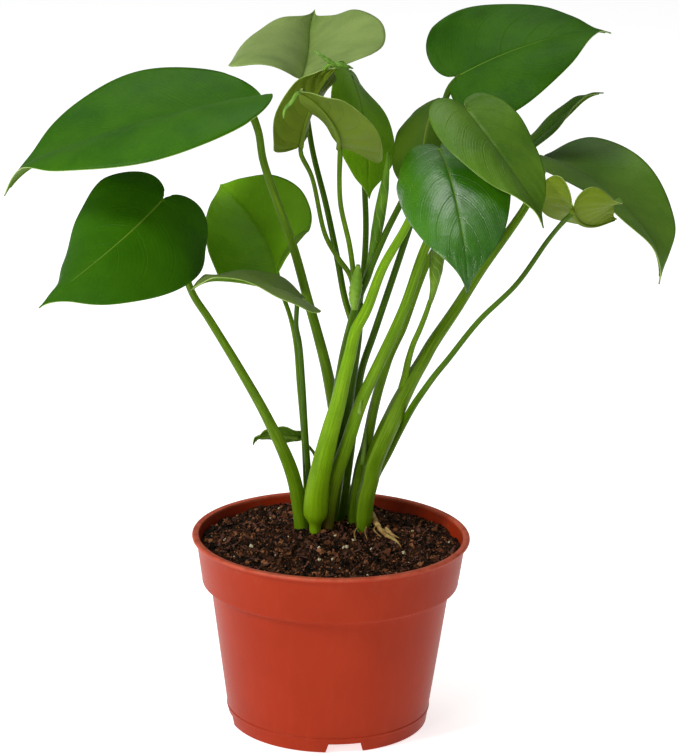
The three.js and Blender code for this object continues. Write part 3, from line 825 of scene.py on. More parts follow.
# --------------------------------------------------------------------------- leaves
@dataclass(frozen=True)
class LeafBlade:
    """One heart-shaped blade, in millimetres and degrees, shaped as its solid is."""

    name: str
    base: Point
    aim: Point
    length: float
    width: float
    droop: float
    curl: float
    sweep: float
    twist: float
    fold: Pair
    cup: Pair
    lobe: float
    tone: BladeTone

    WAVE = 0.8
    RIB = 1.2
    ACROSS = 64
    ALONG = 84
    THICKNESS = 0.5
    SINUS_START = 0.05
    PAIRS = 9

    def axes(self) -> np.ndarray:
        """Rows across, forward and up of the blade at its base."""
        heading, pitch, roll = np.radians(self.aim)
        forward = np.array([math.cos(pitch) * math.cos(heading), math.cos(pitch) * math.sin(heading),
                            math.sin(pitch)])
        up = np.array([0, 0, 1.0]) - forward * forward[2]
        up /= np.linalg.norm(up)
        up = up * math.cos(roll) + np.cross(forward, up) * math.sin(roll)
        return np.stack([np.cross(forward, up), forward, up])

    def rib_axes(self, s: np.ndarray) -> tuple[np.ndarray, np.ndarray, np.ndarray]:
        """Directions across, along and out of the blade at shares s of the midrib, in its axes."""
        reach = np.clip(s, -0.3, 1)
        near_tip = np.clip((s - 0.72) / 0.28, 0, 1) ** 1.5
        bend = np.radians(self.droop) * reach + np.radians(self.curl) * near_tip
        sweep = np.radians(self.sweep) * reach
        twist = np.radians(self.twist) * np.clip(s, 0, 1)[:, None]
        sin, cos = np.sin, np.cos
        forward = np.stack([sin(sweep) * cos(bend), cos(sweep) * cos(bend), -sin(bend)], axis=1)
        flat_up = np.stack([sin(sweep) * sin(bend), cos(sweep) * sin(bend), cos(bend)], axis=1)
        flat_across = np.cross(forward, flat_up)
        up = flat_up * np.cos(twist) + flat_across * np.sin(twist)
        return flat_across * np.cos(twist) - flat_up * np.sin(twist), forward, up

    def rib_points(self, s: np.ndarray) -> np.ndarray:
        """Points of the midrib at shares s of the length, in the blade's axes."""
        steps = np.linspace(-0.4, 1.0, 561)
        forward = self.rib_axes((steps[1:] + steps[:-1]) / 2)[1]
        points = np.vstack([np.zeros(3), np.cumsum(forward, axis=0) * (steps[1] - steps[0]) * self.length])
        points = points - points[160]
        return np.stack([np.interp(s, steps, points[:, k]) for k in range(3)], axis=1)

    def outline(self, u: np.ndarray) -> tuple[np.ndarray, np.ndarray]:
        """Half of the outline from the sinus (0) to the tip (1): shares of half width and length."""
        runs = (
            (0.0, 0.3, (0, 0), (0.05, -1.05 * self.lobe), (0.6, -1.75 * self.lobe), (0.88, 0.02)),
            (0.3, 0.62, (0.88, 0.02), (1.06, 0.18), (1.02, 0.42), (0.74, 0.64)),
            (0.62, 1.0, (0.74, 0.64), (0.5, 0.83), (0.12, 0.86), (0, 1)),
        )
        edge = np.zeros((len(u), 2))
        for low, high, *corners in runs:
            t = np.clip((u - low) / (high - low), 0, 1)[:, None]
            a, b, c, d = (np.array(corner, float) for corner in corners)
            curve = (1 - t) ** 3 * a + 3 * (1 - t) ** 2 * t * b + 3 * (1 - t) * t * t * c + t**3 * d
            edge = np.where(((u >= low) & (u <= high))[:, None], curve, edge)
        return edge[:, 0], edge[:, 1]

    def place(self, x: np.ndarray, y: np.ndarray, height: np.ndarray) -> np.ndarray:
        """Points of the blade in millimetres.

        Args:
            x: Across, as a share of the half width, right positive.
            y: Along, as a share of the length.
            height: Out of the middle surface, in millimetres.

        Returns:
            The points.
        """
        half = self.width / 2
        right = x >= 0
        fold = np.radians(np.where(right, self.fold[1], self.fold[0]))
        rate = np.radians(np.where(right, self.cup[1], self.cup[0])) / half
        rate = np.where(np.abs(rate) < 1e-6, 1e-6, rate)
        angle = fold - rate * np.abs(x) * half
        out = (np.sin(fold) - np.sin(angle)) / rate
        rise = (np.cos(angle) - np.cos(fold)) / rate
        side = np.where(right, 1.0, -1.0)
        lean = side * angle * np.clip(np.abs(x) * half / 2, 0, 1)
        across, _, up = self.rib_axes(y)
        local = (self.rib_points(y) + across * (side * out - np.sin(lean) * height)[:, None]
                 + up * (rise + np.cos(lean) * height)[:, None])
        return np.array(self.base, float) + local @ self.axes()

    def relief(self, cross: np.ndarray, u: np.ndarray, x: np.ndarray, y: np.ndarray) -> np.ndarray:
        """Groove of the midrib, swelling between the side veins and the wave of the margin."""
        share = np.abs(cross)
        phase = (u - 0.16 * share**2) * self.PAIRS
        swelling = 0.28 * (1 - np.abs(np.cos(math.pi * phase))) * share * (1 - share) * 4
        groove = -0.45 * np.exp(-((x * self.width / 2) / 0.9) ** 2) * np.clip((1 - y) * 4, 0, 1)
        groove = np.where(y > 0.002, groove, 0)
        start = sum(ord(letter) for letter in self.name)
        turn = np.where(cross < 0, 1.7, 0.0) + start
        wave = np.sin(2 * math.pi * 2.3 * u + turn) + 0.5 * np.sin(2 * math.pi * 4.9 * u + 2 * turn)
        ends = np.clip(u * 6, 0, 1) * np.clip((1 - u) * 5, 0, 1)
        return swelling + groove + self.WAVE * wave * share**3 * ends

    def build(self) -> bpy.types.Object:
        """Makes the blade with its underside, margin and raised rib."""
        piece = grid(f"blade_{self.name}", self.ACROSS, self.ALONG)
        flat = coordinates(piece)
        evenly = flat[:, 0] * 2 - 1
        cross = np.sign(evenly) * np.abs(evenly) ** 1.25
        u = self.SINUS_START + (1 - self.SINUS_START) * flat[:, 1]
        edge_x, edge_y = self.outline(u)
        middle = np.maximum(0, (u - 0.25) / 0.75) ** 1.1
        share = np.abs(cross)
        x = cross * edge_x
        y = middle * (1 - share) + edge_y * share
        points = self.place(x, y, self.relief(cross, u, x, y))
        set_coordinates(piece, points * MM)
        set_map(piece, np.stack([0.5 + cross / 2, u], axis=1))
        weld(piece, 1e-5)
        upper, under = (BLADE_FINISHES[name].material() for name in self.tone.value)
        give(piece, upper, under, MarginFinish().material())
        wall = piece.modifiers.new("wall", "SOLIDIFY")
        wall.thickness = self.THICKNESS * MM
        wall.offset = 0
        wall.use_even_offset = False
        wall.material_offset = 1
        wall.material_offset_rim = 2
        apply_modifiers(piece)
        smooth(piece)
        return join(piece.name, [piece, self.build_rib(under)])

    def build_rib(self, under: bpy.types.Material) -> bpy.types.Object:
        """Makes the raised midrib under the blade."""
        s = np.linspace(0.0, 0.96, 44)
        radii = self.RIB * (1 - s) ** 0.8 + 0.2
        centres = self.place(np.zeros_like(s), s, -0.8 * radii - 0.25)
        rib = tube("rib", centres, radii, 12, tuple(self.axes()[2]))
        between_veins = np.full(2 * len(rib.data.loops), 0.5, np.float32)
        rib.data.uv_layers.active.data.foreach_set("uv", between_veins)
        give(rib, under)
        return rib


# --------------------------------------------------------------------------- stalks
@dataclass(frozen=True)
class Stalk:
    """A leaf stalk: grooved above, with the two edges of its sheath low down."""

    name: str
    radii: tuple[float, ...]
    tone: StalkTone
    route: tuple[Point, ...]
    foot: float = 1.0
    foot_length: float = 6.0
    belly: float = 0.0

    SHEATH = 0.42
    RIDGE = 0.16
    SIDES = 28
    STEP = 2.6
    FOOT_FADE = 7
    BELLY_RISE = 12
    BELLY_LENGTH = 13
    KNEE = 0.14
    KNEE_DEPTH = 8
    KNEE_LENGTH = 7

    def facing(self) -> Point:
        """The side that the groove is on: towards the middle of the plant."""
        foot, head = np.array(self.route[0], float), np.array(self.route[-1], float)
        lean = head - foot
        inward = -np.array([lean[0], lean[1], 0.0])
        if np.linalg.norm(inward) < 1:
            inward = np.array([0.0, 1.0, 0.0])
        inward = inward / np.linalg.norm(inward)
        return (float(inward[0]), float(inward[1]), 0.4)

    def relief(self, angle: np.ndarray, share: np.ndarray) -> np.ndarray:
        """Groove and sheath ridges as shares of the radius."""
        low = np.clip((self.SHEATH - share) / 0.12, 0, 1)
        low = low * low * (3 - 2 * low)
        groove = -0.16 * bump_of(angle, 0, 0.5) * np.clip((1 - share) * 12, 0, 1)
        ridges = self.RIDGE * (bump_of(angle, 0.75, 0.17) + bump_of(angle, -0.75, 0.17)) * low
        slight = 0.05 * (bump_of(angle, 0.8, 0.25) + bump_of(angle, -0.8, 0.25)) * (1 - low)
        return groove + ridges + slight

    def edge(self, angle: np.ndarray, share: np.ndarray) -> np.ndarray:
        """Mask of the two pale sheath edges."""
        low = np.clip((self.SHEATH + 0.04 - share) / 0.1, 0, 1)
        return (bump_of(angle, 0.75, 0.13) + bump_of(angle, -0.75, 0.13)) * low

    def build(self, blade: LeafBlade | None) -> bpy.types.Object:
        """Makes the stalk.

        Args:
            blade: The blade it carries, if any, whose rib it runs into.

        Returns:
            The piece.
        """
        route = list(self.route)
        if blade is not None:
            inside = blade.place(np.zeros(1), np.full(1, 0.02), np.full(1, -0.9))[0]
            route.append(tuple(float(value) for value in inside))
        length = sum(math.dist(a, b) for a, b in zip(route, route[1:]))
        centres = catmull_rom(route, max(10, round(length / self.STEP)))
        share = np.linspace(0, 1, len(centres))
        radii = np.interp(share, np.linspace(0, 1, len(self.radii)), self.radii)
        radii = self.soften(radii)
        distance = share * length
        foot = np.clip(1 - (distance - self.foot_length) / self.FOOT_FADE, 0, 1)
        foot = foot * foot * (3 - 2 * foot)
        radii = radii * (1 + (self.foot - 1) * foot)
        past_belly = (distance - self.foot_length - self.BELLY_RISE) / self.BELLY_LENGTH
        radii = radii * (1 + self.belly * np.exp(-past_belly ** 2))
        if blade is not None:
            knee = np.exp(-((length - distance - self.KNEE_DEPTH) / self.KNEE_LENGTH) ** 2)
            radii = radii * (1 + self.KNEE * knee)
        piece = tube(self.piece_name(), centres, radii, self.SIDES, self.facing(), self.relief, self.edge)
        give(piece, STALK_FINISHES[self.tone.value].material())
        return piece

    def soften(self, radii: np.ndarray) -> np.ndarray:
        """Evens out the changes of radius along the stalk."""
        kernel = np.hanning(max(3, len(radii) // 12) * 2 + 1)
        padded = np.pad(radii, len(kernel) // 2, mode="edge")
        return np.convolve(padded, kernel / kernel.sum(), mode="valid")

    def piece_name(self) -> str:
        """Name of the visible piece."""
        return "middle_shoot_skin" if self.name == "shoot" else f"stalk_{self.name}"

    def node(self) -> str:
        """Name of the solid it stands for."""
        return "middle_shoot" if self.name == "shoot" else f"petiole_{self.name}"


@dataclass(frozen=True)
class SheathTip:
    """The small pointed end of a sheath, standing off its stalk."""

    name: str
    foot: Point
    tip: Point
    out: Point
    width: float

    def build(self) -> bpy.types.Object:
        """Makes the tip as a thin curved scale."""
        piece = grid(f"sheath_tip_{self.name}", 12, 16)
        flat = coordinates(piece)
        across, along = flat[:, 0] * 2 - 1, flat[:, 1]
        foot, tip, out = (np.array(value, float) for value in (self.foot, self.tip, self.out))
        out = out / np.linalg.norm(out)
        run = tip - foot
        side = np.cross(run, out)
        side /= np.linalg.norm(side)
        half = self.width / 2 * (1 - along) ** 0.6 * (0.75 + 0.25 * (1 - along))
        hollow = self.width * 0.35 * across**2 * (1 - along)
        lift = self.width * 0.25 * np.sin(along * math.pi / 2) ** 2
        points = (foot + run * along[:, None] + side * (half * across)[:, None]
                  + out * (lift - hollow)[:, None])
        set_coordinates(piece, points * MM)
        weld(piece, 1e-5)
        give(piece, DRY_FINISHES["papery"].material())
        wall = piece.modifiers.new("wall", "SOLIDIFY")
        wall.thickness = 0.3 * MM
        wall.offset = 0
        apply_modifiers(piece)
        smooth(piece)
        return piece


@dataclass(frozen=True)
class RolledLeaf:
    """A leaf that is still rolled up round itself."""

    name: str
    route: tuple[Point, ...]
    radii: tuple[float, ...]
    turns: float
    crinkle: float
    finish: RolledFinish

    def relief(self, angle: np.ndarray, share: np.ndarray) -> np.ndarray:
        """The step where the leaf laps over itself, winding up the roll, and its crinkles."""
        place = (angle / (2 * math.pi) + self.turns * share) % 1.0
        step = 0.16 * (place - 0.5) * np.clip(share * 8, 0, 1) * np.clip((1 - share) * 8, 0, 1)
        folds = self.crinkle * np.sin(share * 46 + 1.3 * np.sin(angle)) * np.sin(math.pi * share)
        return step + folds

    def build(self) -> bpy.types.Object:
        """Makes the rolled leaf."""
        length = sum(math.dist(a, b) for a, b in zip(self.route, self.route[1:]))
        count = max(30, round(length / 0.8))
        centres = catmull_rom(self.route, count)
        share = np.linspace(0, 1, count)
        radii = np.interp(share, np.linspace(0, 1, len(self.radii)), self.radii)
        kernel = np.hanning(count // 6 * 2 + 1)
        padded = np.pad(radii, len(kernel) // 2, mode="edge")
        radii = np.convolve(padded, kernel / kernel.sum(), mode="valid")[:count]
        piece = tube(self.name + "_skin", centres, radii, 40, (0, -1, 0), self.relief)
        give(piece, self.finish.material())
        return piece


@dataclass(frozen=True)
class AerialRoot:
    """A tan aerial root that leaves the crown and lies on the mix."""

    name: str
    route: tuple[Point, ...]
    radii: tuple[float, ...]
    node: str = ""
    finish: str = "root"

    def relief(self, angle: np.ndarray, share: np.ndarray) -> np.ndarray:
        """Knobs and shallow wrinkles of the root."""
        return (0.12 * np.sin(share * 31 + np.sin(angle) * 2) + 0.1 * np.sin(angle * 3 + share * 9)
                + 0.08 * np.sin(share * 77 + angle))

    def build(self) -> bpy.types.Object:
        """Makes the root."""
        length = sum(math.dist(a, b) for a, b in zip(self.route, self.route[1:]))
        count = max(16, round(length / 0.7))
        centres = catmull_rom(self.route, count)
        radii = np.interp(np.linspace(0, 1, count), np.linspace(0, 1, len(self.radii)), self.radii)
        piece = tube(self.name, centres, radii, 14 if self.node else 7, (0, 0, 1), self.relief)
        give(piece, DRY_FINISHES[self.finish].material())
        return piece


DRY_FINISHES = {
    "papery": DryFinish("papery_sheath", srgb(96, 132, 20), srgb(122, 152, 44), 220.0, 0.5),
    "strand": DryFinish("tip_strand_skin", srgb(84, 134, 14), srgb(116, 164, 40), 260.0, 0.45),
    "root": DryFinish("aerial_root_skin", srgb(150, 112, 54), srgb(196, 164, 96), 190.0, 0.62),
    "fibre": DryFinish("pale_fibre", srgb(150, 104, 66), srgb(214, 184, 146), 300.0, 0.75),
    "perlite": DryFinish("white_perlite", srgb(206, 190, 144), srgb(238, 228, 196), 900.0, 0.8),
    "bark": DryFinish("red_brown_bark", srgb(58, 34, 26), srgb(104, 58, 42), 380.0, 0.75),
}


# --------------------------------------------------------------------------- the plant
LEAVES = [
    LeafBlade("far_left", (-52, -9, 349), aim=(-172, -8, 17), length=139, width=135, droop=14, curl=40,
              sweep=18, twist=-18, fold=(19, 8), cup=(75, -41), lobe=0.10, tone=BladeTone.VIVID),
    LeafBlade("low_left", (-93, -15, 300), aim=(-115, -21, -29), length=96, width=85, droop=45, curl=8,
              sweep=31, twist=45, fold=(-8, 0), cup=(40, 37), lobe=0.15, tone=BladeTone.VIVID),
    LeafBlade("inner_left", (-33, 28, 248), aim=(94, 19, -40), length=97, width=76, droop=-37, curl=43,
              sweep=-24, twist=11, fold=(13, 23), cup=(-60, 6), lobe=-0.10, tone=BladeTone.CLEAR),
    LeafBlade("level_left", (-21, -9, 246), aim=(-144, 29, -13), length=71, width=43, droop=32, curl=54,
              sweep=0, twist=32, fold=(10, 12), cup=(34, 9), lobe=0.15, tone=BladeTone.DULL),
    LeafBlade("top", (-21, 49, 355), aim=(86, 3, 25), length=132, width=99, droop=-2, curl=-33,
              sweep=-8, twist=-13, fold=(31, 59), cup=(107, 28), lobe=0.13, tone=BladeTone.DULL),
    LeafBlade("folded", (-21, 10, 325), aim=(-75, 63, 32), length=63, width=38, droop=26, curl=12,
              sweep=-6, twist=-33, fold=(31, 40), cup=(1, 53), lobe=0.05, tone=BladeTone.OLIVE),
    LeafBlade("dark_middle", (6, 36, 361), aim=(-52, -53, -39), length=73, width=52, droop=28, curl=-14,
              sweep=6, twist=48, fold=(-6, 2), cup=(-11, 18), lobe=0.06, tone=BladeTone.LEAFY),
    LeafBlade("lifted", (1, -14, 330), aim=(-87, 28, -35), length=83, width=52, droop=12, curl=13,
              sweep=35, twist=17, fold=(23, 37), cup=(31, 51), lobe=0.05, tone=BladeTone.OLIVE),
    LeafBlade("top_right", (64, 38, 360), aim=(5, 30, 28), length=91, width=81, droop=24, curl=28,
              sweep=7, twist=-30, fold=(12, 7), cup=(-15, 56), lobe=0.09, tone=BladeTone.DEEP),
    LeafBlade("shaded_right", (55, 25, 350), aim=(-109, -6, 12), length=83, width=50, droop=76, curl=12,
              sweep=0, twist=-15, fold=(-29, -8), cup=(47, 38), lobe=0.06, tone=BladeTone.OLIVE),
    LeafBlade("glossy_front", (53, -46, 336), aim=(-82, -6, -1), length=109, width=64, droop=50, curl=38,
              sweep=-3, twist=-16, fold=(11, -4), cup=(16, 75), lobe=0.14, tone=BladeTone.GLOSSY),
    LeafBlade("front_right", (66, -45, 357), aim=(-57, -28, -4), length=81, width=53, droop=22, curl=24,
              sweep=-16, twist=-18, fold=(8, 10), cup=(-9, 56), lobe=0.12, tone=BladeTone.FRESH),
    LeafBlade("rolled_right", (99, 55.5, 311.3), aim=(-4, 42, 7), length=62, width=23, droop=-5, curl=52,
              sweep=-3, twist=-1, fold=(29, 27), cup=(26, 49), lobe=0.15, tone=BladeTone.FRESH),
    LeafBlade("far_right", (116, 38, 315), aim=(-44, -3, -1), length=109, width=83, droop=52, curl=49,
              sweep=4, twist=-19, fold=(-1, 25), cup=(-34, 39), lobe=0.10, tone=BladeTone.GREY),
    LeafBlade("small_right", (122, -67, 310), aim=(76, -43, 19), length=53, width=50, droop=-63, curl=17,
              sweep=24, twist=-31, fold=(29, 40), cup=(43, 13), lobe=0.29, tone=BladeTone.PALE),
    LeafBlade("narrow_low", (-19, 25, 157), aim=(178, 8, 42), length=29, width=18, droop=30, curl=80,
              sweep=0, twist=0, fold=(10, 10), cup=(20, 20), lobe=0.08, tone=BladeTone.GREY),
]

STALKS = [
    Stalk("glossy_front", radii=(5.6, 6, 5.4, 4.4, 3.6, 3, 2.6, 2.3, 2, 1.7), tone=StalkTone.BRIGHT, route=(
        (-9.1, 6.5, 96), (-8.4, 3.7, 124.6), (-7.5, 1.2, 136), (-5.4, -1.7, 148.5), (-1, -7.8, 170.7),
        (2.5, -11.2, 186), (5.4, -14.2, 201.1), (8.5, -16.2, 215.8), (11.5, -17.7, 230.2),
        (17, -19, 242), (25, -23, 266), (37, -31, 291), (46, -40, 315), (52, -45, 333),
    ), foot=0.52, foot_length=15.0, belly=0.1),
    Stalk("far_right", radii=(4.6, 4.6, 5.3, 5.3, 4, 3.4, 3, 2.6, 2.2, 1.9), tone=StalkTone.MIDDLE, route=(
        (17.3, 16, 96), (18.2, 13.9, 118.9), (19.2, 12.1, 127.1), (21.2, 10, 136.6), (22.6, 8, 146.1),
        (25.5, 5.7, 155.6), (28.9, 3.4, 165), (32.5, 1.1, 174.4), (35.9, 1.2, 183.1),
        (39.8, 1.5, 191.7), (44, 1.7, 200.2), (48.7, 2, 208.8), (53.2, 4, 216.9), (66, 9, 236),
        (79, 16, 256), (104, 28, 291), (115, 36, 313),
    ), foot=0.8, foot_length=10.0, belly=0.12),
    Stalk("low_left", radii=(4.1, 4.1, 3.9, 3.1, 2.7, 2.4, 2.1, 1.9, 1.7), tone=StalkTone.MIDDLE, route=(
        (-16.8, 14, 96), (-16.8, 14, 107), (-21.8, 8, 139), (-35.8, -3, 175), (-51, -8, 204),
        (-68, -8, 232), (-78, -8, 248), (-86, -8, 276), (-92, -12, 296),
    )),
    Stalk("front_right", radii=(4.2, 1.7), tone=StalkTone.BROWN_FOOT, route=(
        (-3, 13, 96), (-3, 13, 104), (0, 9, 130), (9, -2, 164), (16, -9, 189), (37, -14, 241),
        (48, -17, 277), (61, -19, 305), (71, -23, 327), (73, -31, 345), (68, -43, 354),
    )),
    Stalk("shoot", radii=(4.2, 3.2), tone=StalkTone.DARK, route=(
        (-1, 22, 96), (-1, 22, 104), (4, 11, 154), (9, 2, 197), (12, 3, 225), (12, 4, 240),
    )),
    Stalk("far_left", radii=(3.4, 3.4, 3.4, 3.2, 2.7, 2.5, 2.3, 2.1, 1.9), tone=StalkTone.MIDDLE, route=(
        (8, 38, 96), (8, 37, 113), (3, 27, 155), (-4, 12, 199), (-10, 11, 222), (-15, 11, 239),
        (-23, 5, 269), (-31, -2, 293), (-40, -6, 320), (-43, -8, 337), (-48, -8, 347),
    )),
    Stalk("rolled_right", radii=(3.4, 3.2, 2.9, 2.6, 2.3, 2, 1.8, 1.6, 1.4), tone=StalkTone.MIDDLE, route=(
        (12.2, 25.2, 96), (12.6, 22.8, 117.6), (14.1, 19.7, 130.5), (16, 16.5, 143.3),
        (18.6, 13.7, 154.7), (20.3, 10.8, 165.5), (22, 8.1, 176.8), (24.7, 4.9, 190.4),
        (27.5, 3.7, 201.1), (30.1, 4, 209.6), (33.7, 4.3, 218.1), (36.8, 4.6, 224.9), (52, 14, 265),
        (73, 34, 292), (95, 54, 306),
    )),
    Stalk("top_right", radii=(2.4, 1.7), tone=StalkTone.DARK, route=(
        (3, 31, 96), (5, 31, 104), (12, 15, 170), (15, 9, 200), (22, 10, 223), (39, 15, 278),
        (50, 24, 316), (60, 36, 353),
    )),
    Stalk("shaded_right", radii=(2.4, 1.5), tone=StalkTone.DARK, route=(
        (-5, 4, 145), (-2, 0, 166), (2, -5, 194), (6, -6, 219), (11, -6, 240), (17, -5, 257),
        (27, -4, 282), (35, 1, 298), (47, 12, 324), (54, 22, 347),
    )),
    Stalk("inner_left", radii=(1.6, 1.6, 1.6, 1.5, 1.4, 1.1), tone=StalkTone.MIDDLE, route=(
        (-12, 24, 96), (-14, 22, 120), (-16, 11, 160), (-19, 3, 194), (-21, 2, 216), (-24, 4, 230),
        (-28, 12, 239), (-33, 23, 247),
    )),
    Stalk("level_left", radii=(1.6, 1.6, 1.6, 1.5, 1.4, 1.1), tone=StalkTone.DARK, route=(
        (-10, 20, 96), (-12, 18, 122), (-15, 6, 162), (-17, -2, 195), (-19, -4, 218), (-21, -6, 229),
        (-21, -8, 244),
    )),
    Stalk("small_right", radii=(2.2, 2.1, 2, 1.8, 1.6, 1.5, 1.4, 1.3, 1.2), tone=StalkTone.DARK, route=(
        (21, 13, 126), (24.6, 13, 138), (30.9, 12.3, 151.3), (35.6, 9.5, 162.7), (39.9, 1.4, 174.5),
        (44.1, -9.4, 186.3), (49.1, -19, 197.6), (54.7, -22, 207), (61.1, -24.7, 216.3),
        (77, -31, 240), (96, -40, 263), (111, -49, 289), (118, -61, 302), (122, -67, 308),
    )),
    Stalk("top", radii=(1.8, 1.4), tone=StalkTone.DARK, route=(
        (10, 4, 227), (5, 11, 241), (1, 15, 260), (-6, 22, 290), (-14, 33, 318), (-18, 41, 339),
        (-21, 48, 354),
    )),
    Stalk("dark_middle", radii=(1.8, 1.4), tone=StalkTone.DARK, route=(
        (12, 5, 230), (15, 12, 253), (16, 16, 278), (15, 20, 298), (13, 26, 321), (9, 31, 342),
        (6, 36, 359),
    )),
    Stalk("lifted", radii=(1.5, 1.2), tone=StalkTone.MIDDLE, route=(
        (12, 2, 239), (9, -3, 262), (7, -6, 275), (2, -10, 297), (1, -12, 311), (1, -14, 329),
    )),
    Stalk("folded", radii=(1.5, 1.2), tone=StalkTone.MIDDLE, route=(
        (11, 4, 237), (8, 3, 255), (1, 4, 265), (-6, 6, 277), (-14, 8, 309), (-20, 9, 321),
    )),
    Stalk("rolled_young", radii=(2, 1.8, 1.6, 1.5, 1.3), tone=StalkTone.MIDDLE, route=(
        (37.5, 0, 193.2), (39, -0.6, 199.6), (40.6, -4.8, 210.5), (42.7, -8.4, 220),
        (46, -10.9, 229.1), (49, -12.4, 238), (51.3, -13.3, 246),
    )),
    Stalk("narrow_low", radii=(1.2, 0.8), tone=StalkTone.MIDDLE, route=(
        (-5, 30, 96), (-6, 29, 115), (-7, 26, 134), (-10, 29, 145), (-14, 33, 149), (-18, 36, 153),
    )),
]

ROLLED_LEAVES = [
    RolledLeaf("spear_leaf",
               ((13, 3, 243), (18, 1, 258), (22, 1, 283), (24, 0, 297), (26, -1, 311), (27, -2, 325)),
               (1.7, 2.2, 3.0, 3.3, 2.3, 0.7), 1.0, 0.01,
               RolledFinish("spear_leaf_skin_finish", srgb(72, 116, 12), srgb(96, 140, 24))),
    RolledLeaf("rolled_young_leaf",
               ((51.2, -13.2, 245), (52, -13.6, 248), (53, -14, 253), (54, -14, 263), (55, -13, 275),
                (56, -12, 289)),
               (1.2, 2.0, 3.6, 3.8, 3.3, 1.2), 0.5, 0.02,
               RolledFinish("young_leaf_skin_finish", srgb(78, 110, 18), srgb(100, 132, 30))),
    RolledLeaf("leaf_bud",
               ((10.5, -10, 240), (10.5, -11, 245), (11, -11.5, 252), (11.5, -11.5, 259), (12, -11.5, 265)),
               (1.6, 3.1, 3.5, 2.8, 0.9), 0.6, 0.07,
               RolledFinish("bud_skin_finish", srgb(104, 148, 34), srgb(132, 170, 58))),
]

AERIAL_ROOTS = [
    AerialRoot("aerial_root_long_skin", ((22, 24, 113), (24.5, 17, 110.6), (27.5, 8, 108.6), (31, -1, 107)),
               (1.9, 1.6, 1.1, 0.5), "aerial_root_long"),
    AerialRoot("aerial_root_short_skin", ((31, 10, 108.4), (34, 3, 106.8), (36.5, -5, 105.6)),
               (1.0, 0.9, 0.5), "aerial_root_short"),
    AerialRoot("root_fork_front", ((28, 7, 108.2), (31, 1, 107.4), (37, -8, 106.6), (39, -13, 105.4)),
               (1.2, 1.0, 0.7, 0.3)),
    AerialRoot("root_fork_side", ((28, 8, 108.4), (33, 4, 107.6), (38, 0, 106.2)), (0.9, 0.6, 0.3)),
    AerialRoot("rootlet_left", ((19, 20, 109), (15, 12, 108), (13, 2, 107.4), (14, -8, 106.8)),
               (0.5, 0.45, 0.35, 0.25)),
    AerialRoot("rootlet_middle", ((21, 16, 109), (19, 6, 108), (20, -4, 107)), (0.45, 0.35, 0.25)),
    AerialRoot("rootlet_right", ((26, 14, 109.4), (24, 8, 108.4), (28, -2, 107.2)), (0.4, 0.35, 0.25)),
]

TIP_STRANDS = [
    AerialRoot("folded_tip_strand",
               ((-0.2, -22, 372.5), (-1.8, -23.5, 374.6), (-4.8, -24.5, 376.8), (-9.3, -24.5, 379.9),
                (-13.3, -23, 382.3)),
               (0.7, 1.2, 1.1, 0.9, 0.35), finish="strand"),
    AerialRoot("folded_tip_wedge",
               ((-8.1, -19, 371.9), (-4.5, -22, 375.3), (1.3, -24, 375.2), (7.1, -22, 373.2)),
               (0.7, 1.9, 1.4, 0.4), finish="strand"),
    AerialRoot("lifted_tip_strand",
               ((-19.6, -79, 369.8), (-21.4, -81, 369.3), (-23.7, -82, 365.6), (-27.2, -81, 361.2),
                (-27.9, -79, 356.5)),
               (0.8, 1.0, 0.9, 0.7, 0.35), finish="strand"),
]

SHEATH_TIPS = [
    SheathTip("far_right", (41, -1.5, 196), (45.5, -1.5, 205), (-0.9, -0.5, 0.2), 2.6),
    SheathTip("front_right", (13.5, -11.5, 181), (15.5, -12.5, 190), (-0.4, -1, 0.1), 2.8),
    SheathTip("rolled_right", (17.5, 8, 146), (18, 6.5, 170), (0.3, -1, 0), 3.4),
]


